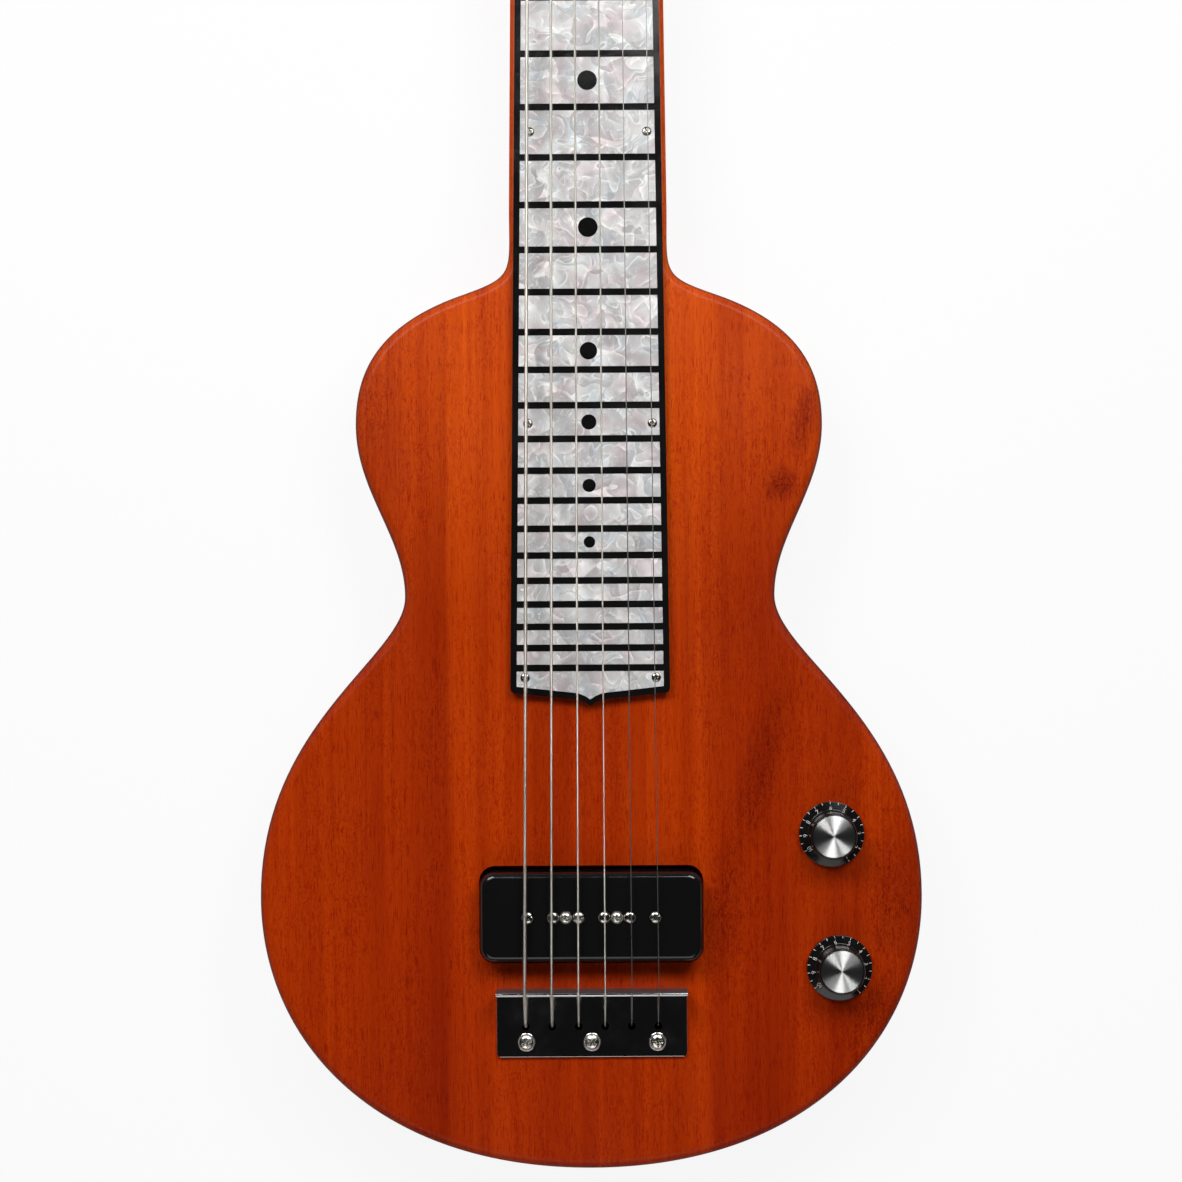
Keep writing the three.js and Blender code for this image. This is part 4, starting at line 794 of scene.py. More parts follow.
BOARD_SCREWS = (
    (560.0, -19.6, 19.6),
    (447.0, -21.1, 21.0),
    (332.8, -22.4, 23.0),
    (219.8, -23.6, 24.6),
    (121.3, -25.2, 25.6),
)
for pair, (y, left, right) in enumerate(BOARD_SCREWS):
    for side_name, x in (("left", left), ("right", right)):
        name, turn = f"fretboard_screw_{pair + 1}_{side_name}", 0.6 * pair + 0.04 * x
        pin = screw(name, x, y, BOARD_TOP, 1.85, 0.6, 1.0, 2.2, turn, arm=0.17, deep=0.85)
        fit(pin, "root", "nickel", dull_nickel)

# Nut. A solid steel wedge stood on the neck at the end of the board, upright towards the strings' length
# and sloping to the head, with six slots filed in its top that hold the strings high above the board.
SEAT_Z = 40.02
NUT_X = np.linspace(-21.3, 21.3, 6)
GAUGES = (1.32, 1.07, 0.81, 0.61, 0.41, 0.33)


def bevelled(piece, width, segments=3, angle=35):
    """The piece with every edge sharper than the angle rounded by a bevel of that width in mm."""
    soft = piece.modifiers.new("soft_edges", "BEVEL")
    soft.width = width * MM
    soft.segments = segments
    soft.limit_method = "ANGLE"
    soft.angle_limit = math.radians(angle)
    return applied(piece)


def beam(name, outline, half, soften):
    """An outline of (y, z) drawn along x between -half and half, with its edges softened by a bevel."""
    return bevelled(prism(name, outline, -half, half, axis="x"), soften)


def slab(x0, x1, y0, y1, z0, z1):
    """A plain cutter between two corners."""
    return prism("cut", [(x0, y0), (x1, y0), (x1, y1), (x0, y1)], z0, z1)


nut_shape = [(NUT_Y, SEAT_Z), (588.2, SEAT_Z), (588.2, 42), (581.6, 55.2), (NUT_Y, 55.2)]
nut = beam("steel_nut", nut_shape, 25.65, 0.35)
carved(nut, [slab(x - g / 2 - 0.3, x + g / 2 + 0.3, 577, 590, 54, 57) for x, g in zip(NUT_X, GAUGES)])
fit(smoothed(nut), "root", "nickel", nickel, "nut")

# Bridge. One strip of chromed steel bent up along its front edge. The upright flange with its rounded
# top is the saddle, the strings come up through six holes behind it, and three round screws hold it.
SADDLE_TOP = 54.0
SHEET = 1.5
PLATE_TOP = 41.52
PLATE_BACK_Y = -26.05
PLATE_HALF = 37.0
FLANGE_FACE_Y = 0.66
CHROME = (0.78, 0.79, 0.80)


def arc(centre_y, centre_z, radius, start, end, steps=12):
    """Points (y, z) of an arc about a centre, from one angle to another in degrees."""
    a = np.radians(np.linspace(start, end, steps + 1))
    return np.stack([centre_y + radius * np.cos(a), centre_z + radius * np.sin(a)], axis=1)


bridge_shape = np.vstack(
    [
        [(PLATE_BACK_Y, SEAT_Z)],
        arc(-1.25, 42.02, 0.5 + SHEET, -90, 0),
        arc(0, SADDLE_TOP - SHEET / 2, SHEET / 2, 0, 180),
        arc(-1.25, 42.02, 0.5, 0, -90, 6),
        [(PLATE_BACK_Y, PLATE_TOP)],
    ]
)
bridge = beam("chrome_bridge", bridge_shape, PLATE_HALF, 0.25)


def corner_cutter(side, radius=2.0, past=0.2):
    """What a rounded corner leaves out of a square one, at the back of the plate."""
    a = np.linspace(0, -math.pi / 2, 13)
    x = PLATE_HALF - radius + radius * np.cos(a)
    y = PLATE_BACK_Y + radius + radius * np.sin(a)
    outer = [(PLATE_HALF + past, PLATE_BACK_Y - past), (PLATE_HALF + past, y[0])]
    outline = np.vstack([outer, np.stack([x, y], axis=1), [(x[-1], PLATE_BACK_Y - past)]])
    return prism("cut", outline * (side, 1), 39, 43)


string_holes = bores(1.5, STRING_X, STRING_HOLE_Y, 39, 43, 32)
screw_holes = bores(2.2, BRIDGE_SCREW_X, BRIDGE_SCREW_Y, 39, 43, 32)
carved(bridge, [corner_cutter(-1), corner_cutter(1)], string_holes + screw_holes)

# The flange's front face is duller, with brush lines along x, where the plate itself is bright.
bridge_chrome, principled, place = shader("chrome_on_rolled_steel", metallic=1.0)
handled(principled, place, 0.05, 0.15, 14.0, 0.5)
depth = add("SeparateXYZ", in_0=place).outputs["Y"]
flange_face = maths("GREATER_THAN", depth, FLANGE_FACE_Y * MM)
smudges = principled.inputs["Roughness"].links[0].from_socket
fed(principled.inputs["Roughness"], maths("MULTIPLY_ADD", flange_face, 0.38, smudges))
brushed = ramp(noise(place, (30, 6, 0.4)), (0.35, 0.42), (0.6, 0.55))
fed(principled.inputs["Base Color"], toned(CHROME, brushed, flange_face))
fit(smoothed(bridge), "root", "chrome", bridge_chrome, "bridge_plate")

for number, (x, turn) in enumerate(zip(BRIDGE_SCREW_X, (0.5, 0.9, 0.15)), 1):
    name = f"bridge_round_screw_{number}"
    pin = screw(name, x, BRIDGE_SCREW_Y, PLATE_TOP, 3.5, 2.0, 1.9, 16, turn, arm=0.13, deep=0.6)
    fit(pin, "root", "chrome", bright_nickel, f"bridge_screw_{number}")

# String bar. A nickel bar let into the back under the bridge, with a stepped hole for each ball end.
string_bar = beam("string_bar", [(-18.7, 0), (-9.7, 0), (-9.7, 4), (-18.7, 4)], 31.0, 0.4)
ball_seats = bores(2.4, STRING_X, STRING_HOLE_Y, -1, 3, 32)
carved(string_bar, ball_seats, bores(1.1, STRING_X, STRING_HOLE_Y, 2, 5))
fit(smoothed(string_bar), "root", "nickel", nickel, "string_ferrule_bar")

# Pickup. A gloss black moulded cover over one coil wound with hair-thin copper, six slotted pole screws
# down its middle, and two cross-head screws between them that hold it at its height in the route.
POLE_X = np.linspace(-24.6, 24.6, 6)
POLE_TURNS = (0.08, 0.26, 0.03, 0.29, 0.17, 0.1)
COVER_TOP = 51.0
COVER_RIM = 33.0


def at_levels(rings, levels):
    """Rings of (x, y) points, each at its own height."""
    return np.array([np.column_stack([ring, np.full(len(ring), z)]) for ring, z in zip(rings, levels)])


def pickup_shell():
    """Outline of a rounded rectangle carried up the wall and in over the top: at each level it is set in
    by e (1 - sin v) and lowered by e (1 - cos v), then shrinks to the middle line."""
    edge = 2.6
    v = np.linspace(math.pi / 2, 0, 12)
    insets = np.concatenate([[0.0], edge * (1 - np.sin(v))])
    levels = np.concatenate([[COVER_RIM], COVER_TOP - edge * (1 - np.cos(v))])
    rings = [
        rounded_rectangle(-43 + e, 11.95 + e, 43 - e, 46.45 - e, 5.5 - 0.75 * e, 14) for e in insets
    ]
    return at_levels(rings, levels)


black_plastic, principled, place = shader("gloss_black_plastic", base_color=(0.0065, 0.0065, 0.007))
handled(principled, place, 0.09, 0.20, 22.0, 0.6)

cover = skin("pickup_moulded_cover", pickup_shell())
hollow = pocket(-40.8, 14.15, 40.8, 44.25, 3.3, 30, 48.8)
pole_holes = bores(2.6, POLE_X, PICKUP_Y, 47, 53, 40)
carved(cover, [hollow], pole_holes + bores(1.6, PICKUP_SCREW_X, PICKUP_Y, 47, 53))
fit(smoothed(cover), "root", "black_plastic", black_plastic, "pickup_cover")

for number, (x, share) in enumerate(zip(POLE_X, POLE_TURNS), 1):
    turn = 2 * math.pi * share + math.pi / 2
    pole = screw(f"pole_piece_{number}", x, PICKUP_Y, 49.8, 2.3, 2.4, 1.5, 18.2, turn, True, 1.5)
    fit(pole, "root", "nickel", nickel, f"pole_screw_{number}")
for number, x in enumerate(PICKUP_SCREW_X, 1):
    name, turn = f"pickup_height_screw_{number}", 0.7 - 0.3 * number
    pin = screw(name, x, PICKUP_Y, COVER_TOP, 2.5, 1.5, 1.3, 29, turn, arm=0.14, deep=0.7)
    fit(pin, "root", "nickel", bright_nickel, f"pickup_screw_{number}")


def coil_rings():
    """A racetrack whose set-in runs e(z): nothing at the two flanges, 2 mm between them, where it swells
    by 0.12 |sin| every half millimetre for the layers of wire."""
    z = np.linspace(33.02, 44, 180)
    wound = (z > 34.2) & (z < 42.8)
    inset = np.where(wound, 2.0 - 0.12 * np.abs(np.sin(2 * math.pi * z)), 0.0)
    rings = [rounded_rectangle(-37 + e, 17.2 + e, 37 - e, 41.2 - e, 11.9 - e, 12) for e in inset]
    return at_levels(rings, z)


copper = metal("enamelled_copper", (0.35, 0.09, 0.035), 0.35, 0.5, 6.0, 0.3)
coil = skin("pickup_wound_coil", coil_rings())
pole_holes = bores(1.8, POLE_X, PICKUP_Y, 31, 46, 16)
carved(coil, pole_holes + bores(1.6, PICKUP_SCREW_X, PICKUP_Y, 31, 46, 16))
fit(smoothed(coil), "root", "copper_wire", copper, "pickup_coil")
painted(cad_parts["pickup_baseplate"], nickel)

# Strings. Four wound with flat-topped nickel wire and two of plain steel. Each ball end sits in the bar,
# and the string comes up through the body, over the saddle and the nut, and winds round its post.
NUT_LAND = 2.4
STRING_GAP = 0.15
POST_RADIUS = 3.0
HOLE_Z = 48.0
WIRE_SHARE = 0.485
WINDING_SIDES = 48


def swept(name, path, radius, sides=12):
    """A round wire along a path p(s): p + r (cos a . across + sin a . up). Across is level and square to
    the path, or the x axis where the path stands upright, and up is square to both."""
    path = np.array(path, float)
    tangent = np.gradient(path, axis=0)
    tangent /= np.linalg.norm(tangent, axis=1)[:, None]
    across = np.stack([tangent[:, 1], -tangent[:, 0], 0 * tangent[:, 0]], axis=1)
    flat = np.linalg.norm(across, axis=1)[:, None]
    across = np.where(flat < 0.05, [1.0, 0.0, 0.0], across / np.maximum(flat, 1e-9))
    up = np.cross(across, tangent)
    a = all_round(sides)[None, :, None]
    ring = path[:, None] + radius * (np.cos(a) * across[:, None] + np.sin(a) * up[:, None])
    steps = np.linalg.norm(np.diff(path, axis=0), axis=1)
    return skin(name, ring, along=np.concatenate([[0], np.cumsum(steps)]))


def string_path(index):
    """Straight up through the body, a short bend on to the line to the saddle, the arc over the saddle,
    a straight run to the nut, and a helix z = z0 + pitch . turns round the post. The helix has from 2
    to 2.5 turns, so that it ends at the mouth of the post's hole. Returns the path, the mouth and the
    mouth's angle."""
    gauge = GAUGES[index]
    r = gauge / 2
    x, nut_x, post_x, post_y = STRING_X[index], NUT_X[index], POST_X[index], POST_Y[index]
    side = math.copysign(1, post_x)
    round_over = SHEET / 2 + STRING_GAP + r
    crest = SADDLE_TOP - SHEET / 2
    to_crest = math.hypot(-STRING_HOLE_Y, crest - PLATE_TOP)
    climb = math.atan2(crest - PLATE_TOP, -STRING_HOLE_Y) + math.asin(round_over / to_crest)
    upright = np.column_stack([np.full(9, STRING_HOLE_Y), np.linspace(2.6, PLATE_TOP - 1.2, 9)])
    over = arc(0, crest, round_over, 90 + math.degrees(climb), 90, 12)
    start, corner, end = upright[-1], np.array([STRING_HOLE_Y, PLATE_TOP]), over[0]
    onward = corner + 1.4 * (end - corner) / np.linalg.norm(end - corner)
    t = np.linspace(0, 1, 9)[1:, None]
    bend = (1 - t) ** 2 * start + 2 * (1 - t) * t * corner + t**2 * onward
    rise = onward + np.linspace(0, 1, 8)[1:-1, None] * (end - onward)
    front = np.vstack([upright, bend, rise, over])
    front = np.column_stack([np.full(len(front), x), front])

    run_z = crest + round_over
    wrap = POST_RADIUS + 0.3 + r
    land = np.array([nut_x, NUT_Y + NUT_LAND, run_z])
    far = math.hypot(post_x - nut_x, post_y - land[1])
    bearing = math.atan2(post_y - land[1], post_x - nut_x)
    start_angle = bearing + side * math.asin(wrap / far) + side * math.pi / 2
    pitch = gauge + 0.5
    start_z = HOLE_Z - 2 * pitch
    over_two = (side * start_angle / math.pi) % 1.0
    turns = 2 + over_two / 2
    t = np.linspace(0, 1, int(WINDING_SIDES * turns) + 1)
    angle = start_angle - side * 2 * math.pi * turns * t
    helix = np.column_stack(
        [post_x + wrap * np.cos(angle), post_y + wrap * np.sin(angle), start_z + 2 * pitch * t]
    )
    first, last = np.array([x, 0, run_z]), np.array([nut_x, NUT_Y, run_z])
    speaking = first + np.linspace(0, 1, 60)[1:, None] * (last - first)
    to_post = land + np.linspace(0, 1, 8)[1:-1, None] * (helix[0] - land)
    return np.vstack([front, speaking, [land], to_post, helix]), helix[-1], angle[-1]


def wire_finish(name, colour, roughness, pitch):
    """Bright wire. Wound wire has a ridge |sin| every pitch along the string, with painted shade between
    the turns.
    """
    made, principled, place = shader(name, metallic=1.0, roughness=roughness)
    along = add("Attribute", made.node_tree, attribute_name="along").outputs["Fac"]
    if pitch:
        ridge = maths("ABSOLUTE", maths("SINE", maths("MULTIPLY", along, math.pi / pitch)))
        # Painted shade between the turns of the winding.
        tone = ramp(ridge, (0.0, 0.60), (0.35, 0.93), (1.0, 1.0))
        bumped(principled, ridge, 0.04, 0.9)
    else:
        tone = ramp(maths("SINE", maths("MULTIPLY", along, 2.1)), (0.0, 0.9), (1.0, 1.0))
    dull = ramp(noise(place, (3, 18, 3)), (0.35, 0.8), (0.6, 1.0))
    fed(principled.inputs["Base Color"], toned(toned(colour, tone), dull))
    return made


wound_nickel = [
    wire_finish(f"wound_nickel_{i}", (0.76, 0.73, 0.65), 0.34, pitch)
    for i, pitch in enumerate((0.36, 0.30, 0.24, 0.19), 1)
]
plain_steel = wire_finish("plain_steel", (0.36, 0.35, 0.33), 0.40, 0)
ball_brass = metal("ball_brass", (0.60, 0.42, 0.16), 0.25, 0.4, 5.0, 0.5)
ball = [(0, 0.35), (1.2, 0.35), (1.9, 0.75), (1.45, 1.5), (1.9, 2.3), (1.2, 2.7), (0, 2.7)]

string_ends = []
for index, gauge in enumerate(GAUGES):
    number = index + 1
    finish, slot, sides = plain_steel, "string_steel", 10
    if index < len(wound_nickel):
        finish, slot, sides = wound_nickel[index], "nickel", 14
    course, mouth, mouth_angle = string_path(index)
    wire = swept(f"string_wire_{number}", course, WIRE_SHARE * gauge, sides)
    fit(smoothed(wire, 50), "root", slot, finish, f"string_{number}")
    bead = turned(f"string_ball_{number}", ball, STRING_X[index], STRING_HOLE_Y, 32, soften=0.3)
    fit(smoothed(bead, 50), "root", "nickel", ball_brass)
    string_ends.append((mouth, mouth_angle, gauge / 2, finish, slot))

# Controls. Two potentiometers stand in a cavity cut from the back, each with a black bell knob that
# carries white figures and a spun aluminium disc. A black lid held by four screws closes the cavity.
SKIRT = [(12.65, 42.3), (9.5, 43.05)]
FIGURE_RADIUS = 10.3
TICK_RADIUS = 12.08

white_paint, principled, place = shader("dial_paint", roughness=0.5)
worn_paint = ramp(noise(place, (0.5, 0.5, 0.5)), (0.34, 0.5), (0.55, 1.0))
fed(principled.inputs["Base Color"], toned((0.68, 0.68, 0.66), worn_paint))

knob_plastic, principled, place = shader("knob_plastic", base_color=(0.008, 0.007, 0.007))
handled(principled, place, 0.10, 0.20, 7.0, 0.7)


def spun_aluminium(name, x, y):
    """Bare aluminium faced on a lathe: fine rings round (x, y), and highlights drawn across them, so that
    each lamp lights a wedge of the disc and one opposite."""
    made, principled, place = shader(
        name, metallic=1.0, roughness=0.42, anisotropic=1.0, anisotropic_rotation=0.25
    )
    centred = add("Mapping", in_Vector=place, in_Location=(-x * MM, -y * MM, 0)).outputs[0]
    flat = add("VectorMath", operation="MULTIPLY", in_0=centred, in_1=(1, 1, 0)).outputs[0]
    radius = add("VectorMath", operation="LENGTH", in_0=flat).outputs["Value"]
    rings = add("TexNoise", noise_dimensions="1D", in_W=radius, in_Scale=5200.0, in_Detail=3.0)
    tone = ramp(rings.outputs[0], (0.3, 0.90), (0.6, 1.0))
    fed(principled.inputs["Base Color"], toned((0.97, 0.97, 0.96), tone))
    around = add("Tangent", made.node_tree, direction_type="RADIAL", axis="Z")
    fed(principled.inputs["Tangent"], around.outputs[0])
    return made


def on_skirt(flat, angle, centre_radius, x, y, lift):
    """Flat figures wrapped on the skirt's cone: across becomes an angle, up becomes a radius, and the
    height is read off the cone. Angles turn clockwise from +Y."""
    radius = centre_radius + flat[:, 1]
    around = angle + flat[:, 0] / centre_radius
    height = np.interp(radius, [SKIRT[1][0], SKIRT[0][0]], [SKIRT[1][1], SKIRT[0][1]])
    return np.column_stack(
        [x + radius * np.sin(around), y + radius * np.cos(around), height + lift + flat[:, 2]]
    )


def figure(number):
    """Corners and faces of a numeral 1.7 mm high, centred on its own middle, in mm."""
    letters = bpy.data.curves.new("numeral", "FONT")
    letters.body = str(number)
    letters.size = 2.35
    letters.space_character = 0.92
    letters.extrude = 0.02
    letters.offset = 0.01
    letters.resolution_u = 3
    letters.align_x = "CENTER"
    holder = bpy.data.objects.new("numeral", letters)
    scene.collection.objects.link(holder)
    bpy.context.view_layer.update()
    shape = bpy.data.meshes.new_from_object(holder.evaluated_get(bpy.context.evaluated_depsgraph_get()))
    corners = np.array([v.co[:] for v in shape.vertices])
    corners[:, :2] -= (corners[:, :2].max(0) + corners[:, :2].min(0)) / 2
    faces = [list(f.vertices) for f in shape.polygons]
    bpy.data.objects.remove(holder)
    bpy.data.meshes.remove(shape)
    return corners, faces


def dial(name, x, y, ten_angle):
    """Ten figures, 30 degrees apart and falling clockwise from ten, with a tick at each figure and at
    each half step, as one mesh."""
    corners, faces, start = [], [], 0
    step = math.radians(30)
    for number in range(10, 0, -1):
        angle = math.radians(ten_angle) + (10 - number) * step
        flat, shape = figure(number)
        corners.append(on_skirt(flat, angle, FIGURE_RADIUS, x, y, 0.03))
        faces += [[start + k for k in f] for f in shape]
        start += len(flat)
    square = ((-0.14, -0.5), (0.14, -0.5), (0.14, 0.5), (-0.14, 0.5))
    tick_box = np.array([(u, v, w) for w in (0.0, 0.035) for u, v in square])
    sides = [(0, 3, 2, 1), (4, 5, 6, 7), (0, 1, 5, 4), (1, 2, 6, 5), (2, 3, 7, 6), (3, 0, 4, 7)]
    for half_step in range(19):
        angle = math.radians(ten_angle) + half_step * step / 2
        corners.append(on_skirt(tick_box, angle, TICK_RADIUS, x, y, 0.01))
        faces += [[start + k for k in f] for f in sides]
        start += len(tick_box)
    mesh = bpy.data.meshes.new(name)
    mesh.from_pydata((np.vstack(corners) * MM).tolist(), [], faces)
    made = bpy.data.objects.new(name, mesh)
    scene.collection.objects.link(made)
    welded(mesh)
    return made


disc = [(0, 51.86), (8.2, 51.86), (8.2, 52.5), (8.05, 52.65), (4, 52.65), (0.25, 52.65), (0, 52.6)]
bell = [
    (0, 48.8), (3.3, 48.8), (3.3, 43), (6.9, 43), (6.9, 40.5), (12.65, 40.5), SKIRT[0], SKIRT[1],
    (9.1, 43.6), (9.0, 52.4), (8.7, 53), (8.3, 53), (8.3, 51.85), (0, 51.85),
]
for name, ten_angle in (("upper", -122.5), ("lower", -129)):
    x, y = KNOBS[name]
    knob = turned(f"bell_knob_{name}", bell, x, y, 96, soften=0.18)
    fit(smoothed(knob), f"knob_{name}", "black_plastic", knob_plastic, f"knob_{name}")
    cap = turned(f"spun_cap_{name}", disc, x, y, 96)
    spun = spun_aluminium(f"spun_aluminium_{name}", x, y)
    fit(cap, f"knob_{name}", "aluminium", spun, f"knob_cap_{name}")
    figures = dial(f"dial_figures_{name}", x, y, ten_angle)
    fit(figures, f"knob_{name}", "cream_plastic", white_paint)

bare_steel = metal("zinc_steel", (0.50, 0.49, 0.47), 0.30, 0.46, 8.0, 0.6)
brass = metal("turned_brass", (0.62, 0.43, 0.17), 0.24, 0.38, 5.0, 0.6)
cream, principled, place = shader("aged_cream_plastic", subsurface_weight=0.12)
cloudy = noise(place, (9, 7, 4), distortion=0.8)
yellowed = ramp(cloudy, (0.35, (0.60, 0.45, 0.25)), (0.65, (0.74, 0.63, 0.43)))
fed(principled.inputs["Base Color"], yellowed)
handled(principled, place, 0.18, 0.34, 6.0, 0.7)
for name in KNOBS:
    painted(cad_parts[f"potentiometer_{name}"], bare_steel)
    painted(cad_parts[f"pot_shaft_{name}"], brass)
painted(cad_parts["tone_capacitor"], cream)

LID_SCREWS = [(72.6, -3.4), (106.4, -3.4), (72.6, 72.4), (106.4, 72.4)]
lid = prism("cavity_lid", rounded_rectangle(68.3, -7.7, 110.7, 76.7, 10.7, 12), 0, 2)
bevelled(lid, 0.4, angle=30)
carved(lid, [bore(2.6, x, y, -1, 1.2, 40) for x, y in LID_SCREWS])
fit(smoothed(lid), "root", "black_plastic", black_board, "control_cover")


def moved(piece, order, signs, x, y, z):
    """A piece with its coordinates taken in that order, each times its sign, then moved by (x, y, z)."""
    corners = np.empty(len(piece.data.vertices) * 3, np.float32)
    piece.data.vertices.foreach_get("co", corners)
    corners = corners.reshape(-1, 3)[:, order] * signs + np.array([x, y, z]) * MM
    piece.data.vertices.foreach_set("co", corners.ravel().astype(np.float32))
    return piece


def turned_over(piece, x, y, z):
    """A screw turned over about the x axis, its head to the back: (x, y, z) goes to (x, -y, -z)."""
    return moved(piece, (0, 1, 2), (1, -1, -1), x, y, z)


for number, (x, y) in enumerate(LID_SCREWS, 1):
    pin = screw(f"lid_screw_{number}", 0, 0, 0, 2.4, 0.8, 1.1, 8, 0.9 * number, arm=0.12)
    fit(turned_over(pin, x, y, 1.0), "root", "nickel", nickel)

# Jack. A chromed brass barrel runs in from the side of the lower bout to the cavity, and a round nut in a
# turned recess draws it up to the wood.
def along_x(piece, side, x, y, z):
    """A piece made on the z axis laid along x, out to that side: (x, y, z) goes to (side z, x, y)."""
    return moved(piece, (2, 0, 1), (side, 1, 1), x, y, z)


chrome = metal("chrome_plate", CHROME, 0.05, 0.15, 14.0, 0.5)
barrel = [(0, 92.4), (6.35, 92.4), (6.35, 128.4), (3.4, 128.4), (3.4, 100.4), (0, 100.4)]
socket = along_x(turned("jack_barrel", barrel, soften=0.3), 1, 0, JACK_Y, JACK_Z)
fit(smoothed(socket), "root", "chrome", chrome, "jack_socket")
collar = [(6.65, 125.8), (8.5, 125.8), (8.5, 128.1), (8.2, 128.4), (6.65, 128.4), (6.65, 125.8)]
ring_nut = along_x(turned("jack_ring_nut", collar), 1, 0, JACK_Y, JACK_Z)
fit(smoothed(ring_nut), "root", "chrome", chrome, "jack_nut")

# Tuners. A pressed strip along each side of the head's back carries three open worm gears: a cream
# button turns a steel shaft with a brass worm, which turns the brass wheel on the foot of the post.
TEETH, MODULE = 14, 0.62
PITCH_RADIUS = MODULE * TEETH / 2
WORM_PITCH = 2.05
LEAD = math.pi * MODULE
AXIS_Z = 16.942
GEAR_DISTANCE = PITCH_RADIUS + WORM_PITCH
WHEEL_WIDTH = 3.2
TOOTH_SLACK = 0.2
STRIP_SCREW_Y = (614.2, 636.2, 671.2, 700.2)


def half_tooth(height):
    """Half thickness of a tooth at a height h above the pitch line: (lead/2 - slack)/2 - h tan 20."""
    return (LEAD / 2 - TOOTH_SLACK) / 2 - height * math.tan(math.radians(20))


def wheel_rings(x, y, side):
    """Fourteen teeth round (x, y). The level z is turned by z tan(lead angle) / radius, so that the teeth
    lean with the worm's thread, the other way on the bass side."""
    lean = LEAD / (2 * math.pi * WORM_PITCH) / PITCH_RADIUS
    z = np.linspace(-WHEEL_WIDTH / 2, WHEEL_WIDTH / 2, 7)
    height = np.array([-1.2, -1.0, 0.0, 0.8, 0.9, 0.9, 0.8, 0.0, -1.0, -1.2]) * MODULE
    flank = np.array([-1, -1, -1, -1, -0.8, 0.8, 1, 1, 1, 1])
    radius = PITCH_RADIUS + height
    middle = 2 * math.pi * (np.arange(TEETH) + 0.5) / TEETH - math.pi / 2
    angle = middle[:, None] + flank * half_tooth(height) / radius
    angle = angle.ravel()[None, :] + (lean * z)[:, None]
    r = np.tile(radius, TEETH)[None, :] * np.ones_like(angle)
    return circled(0, 0, r, z[:, None], angle) * (side, 1, 1) + (x, y, AXIS_Z)


def worm_rings(x, y, side):
    """Radius over (along, angle): the root, plus the tooth's height where along - lead . angle / 2 pi
    falls within half a tooth of a whole number of leads. It fades out at both ends."""
    half = 3.8
    along = np.linspace(-half, half, 150)[:, None]
    angle = all_round(48)
    phase = (along - LEAD * angle / (2 * math.pi) + LEAD / 2) % LEAD - LEAD / 2
    foot, tip = half_tooth(-1.2 * MODULE), half_tooth(0.9 * MODULE)
    root, crest = WORM_PITCH - 1.2 * MODULE, WORM_PITCH + 0.9 * MODULE
    thread = np.clip((foot - np.abs(phase)) / (foot - tip), 0, 1)
    fade = np.clip((half - np.abs(along)) / 0.6, 0, 1)
    radius = root + (crest - root) * thread * fade
    rings = np.stack([along + 0 * angle, radius * np.cos(angle), radius * np.sin(angle)], axis=2)
    return rings * (side, 1, 1) + (x, y, AXIS_Z)


def button_rings(x, y, side):
    """An oval cushion 15 by 18 by 6.4: (7.5 c cos u, 9 c sin u, 3.2 s) with c = |cos v|^0.45 and s =
    |sin v|^0.8 with its sign, dished a little in the middle of both faces."""
    v = np.linspace(-math.pi / 2, math.pi / 2, 25)[:, None]
    u = all_round(64)
    c = np.abs(np.cos(v)) ** 0.45
    s = np.sign(np.sin(v)) * np.abs(np.sin(v)) ** 0.8
    thin = 1 - 0.14 * (1 - c) ** 2
    rings = np.stack([27.5 + 7.5 * c * np.cos(u), 9 * c * np.sin(u), 3.2 * s * thin + 0 * u], axis=2)
    return rings * (side, 1, 1) + (x, y, AXIS_Z)


def softened(node, name, width):
    """A merged copy of a solid with its sharp edges rounded by a bevel."""
    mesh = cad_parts[node].data.copy()
    mesh.name = name
    work = bmesh.new()
    work.from_mesh(mesh)
    bmesh.ops.remove_doubles(work, verts=work.verts, dist=2e-6)
    bmesh.ops.dissolve_limit(work, angle_limit=math.radians(1), verts=work.verts, edges=work.edges)
    work.to_mesh(mesh)
    work.free()
    made = bpy.data.objects.new(name, mesh)
    scene.collection.objects.link(made)
    return bevelled(made, width, 2, 40)


for side_name, side in (("left", -1), ("right", 1)):
    strip = softened(f"tuner_plate_{side_name}", f"tuner_strip_{side_name}", 0.2)
    fit(smoothed(strip), "root", "nickel", nickel, f"tuner_plate_{side_name}")
    for number, y in enumerate(STRIP_SCREW_Y, 1):
        pin = screw(f"strip_screw_{side_name}_{number}", 0, 0, 0, 1.9, 0.9, 0.9, 7, 0.8 * number)
        fit(turned_over(pin, side * 27.6, y, 20.0), "root", "nickel", nickel)

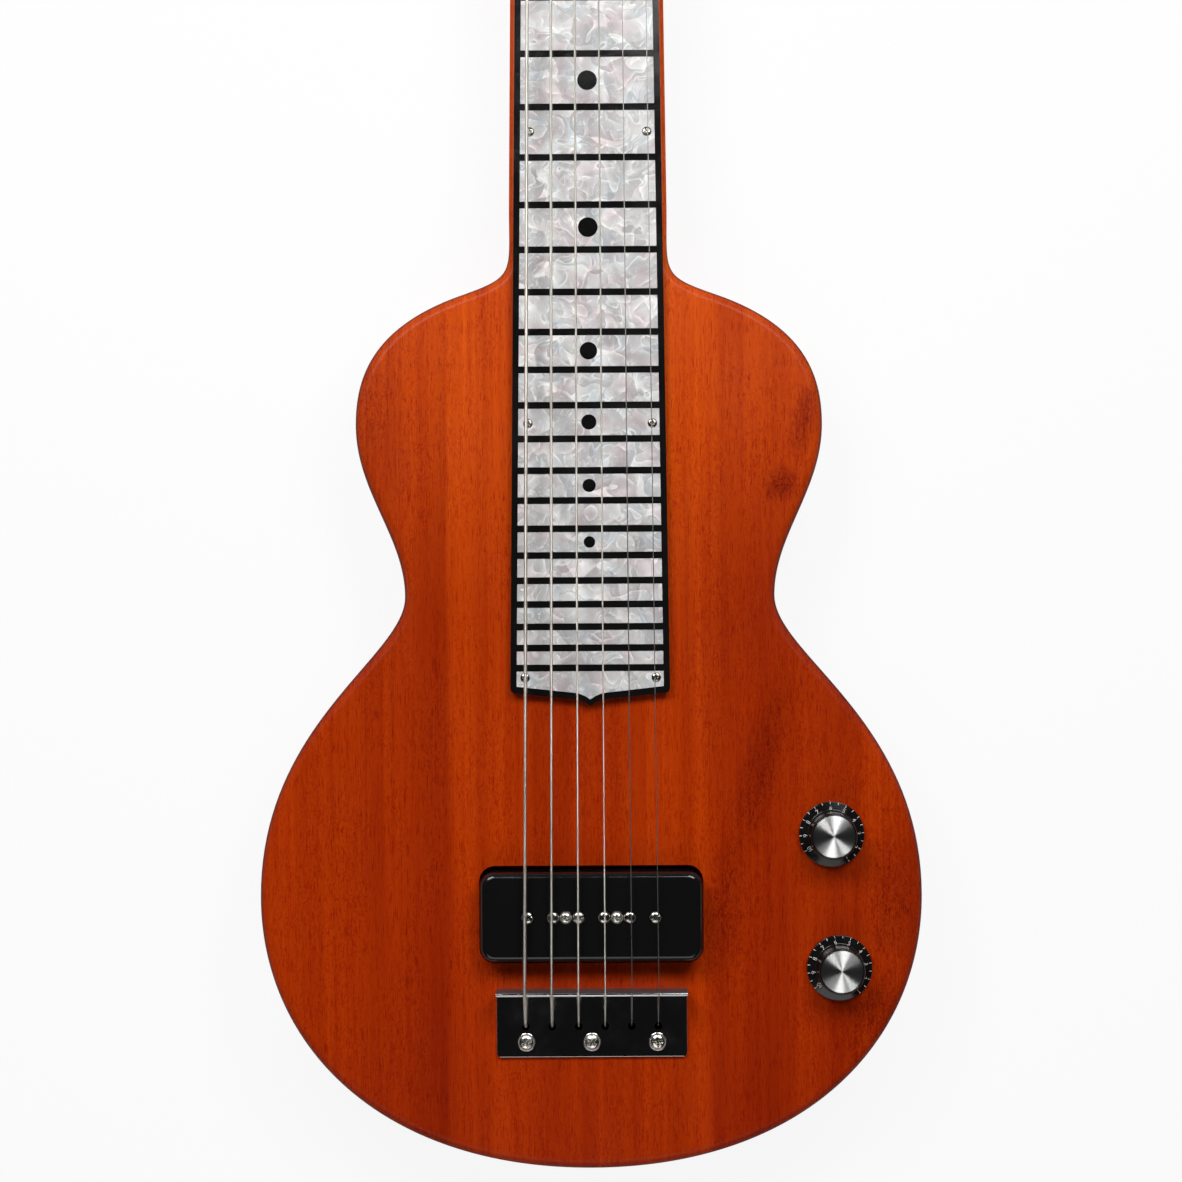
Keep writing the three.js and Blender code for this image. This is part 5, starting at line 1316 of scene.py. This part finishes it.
post_shape = [
    (0, 13.94), (2.2, 13.94), (2.4, 14.2), (2.4, 15.3), (3, 17.5), (3, 39), (2.67, 40), (2.67, 49),
    (3, 50), (2.6, 50.7), (2, 51), (0, 51),
]
bushing = [(3.3, 30), (4.3, 30), (4.3, 36.02), (5.2, 36.02), (5.2, 37.2), (4.7, 38), (3.3, 38), (3.3, 30)]
shaft_shape = [
    (0, -5.6), (1.5, -5.6), (1.5, -3.9), (1.2, -3.7), (1.2, 3.7), (1.5, 3.9), (1.5, 5.6),
    (2.1, 5.6), (2.1, 6.8), (1.5, 6.8), (1.5, 20.5), (0, 20.5),
]
for number, (x, y, string_end) in enumerate(zip(POST_X, POST_Y, string_ends), 1):
    side = math.copysign(1, x)
    worm_y = y - GEAR_DISTANCE
    post_body, button_body = f"tuner_post_{number}", f"tuner_button_{number}"
    post = turned(f"string_post_{number}", post_shape, x, y, 48, soften=0.2)
    carved(post, [bore(0.9, y, HOLE_Z, x - 5, x + 5, axis="x")])
    fit(smoothed(post), post_body, "nickel", nickel, post_body)
    wheel = skin(f"worm_wheel_{number}", wheel_rings(x, y, side))
    fit(smoothed(wheel), post_body, "brass", brass)
    collar = turned(f"post_bushing_{number}", bushing, x, y, 48, soften=0.15)
    fit(smoothed(collar), "root", "nickel", nickel, f"tuner_bushing_{number}")

    mouth, mouth_angle, r, finish, slot = string_end
    inward = np.array([-math.cos(mouth_angle), 0, 0])
    through = mouth + np.linspace(0, 1, 12)[:, None] * inward * (2 * POST_RADIUS)
    tail = swept(f"string_tail_{number}", through, r * 0.98)
    fit(smoothed(tail, 50), post_body, slot, finish)

    worm = skin(f"brass_worm_{number}", worm_rings(x, worm_y, side))
    fit(smoothed(worm, 40), button_body, "brass", brass)
    shaft = turned(f"button_shaft_{number}", shaft_shape, segments=40, soften=0.15)
    along_x(shaft, side, x, worm_y, AXIS_Z)
    welded(shaft.data)
    fit(smoothed(shaft), button_body, "nickel", nickel)
    button = skin(f"oval_button_{number}", button_rings(x, worm_y, side))
    fit(smoothed(button, 60), button_body, "cream_plastic", cream, button_body)
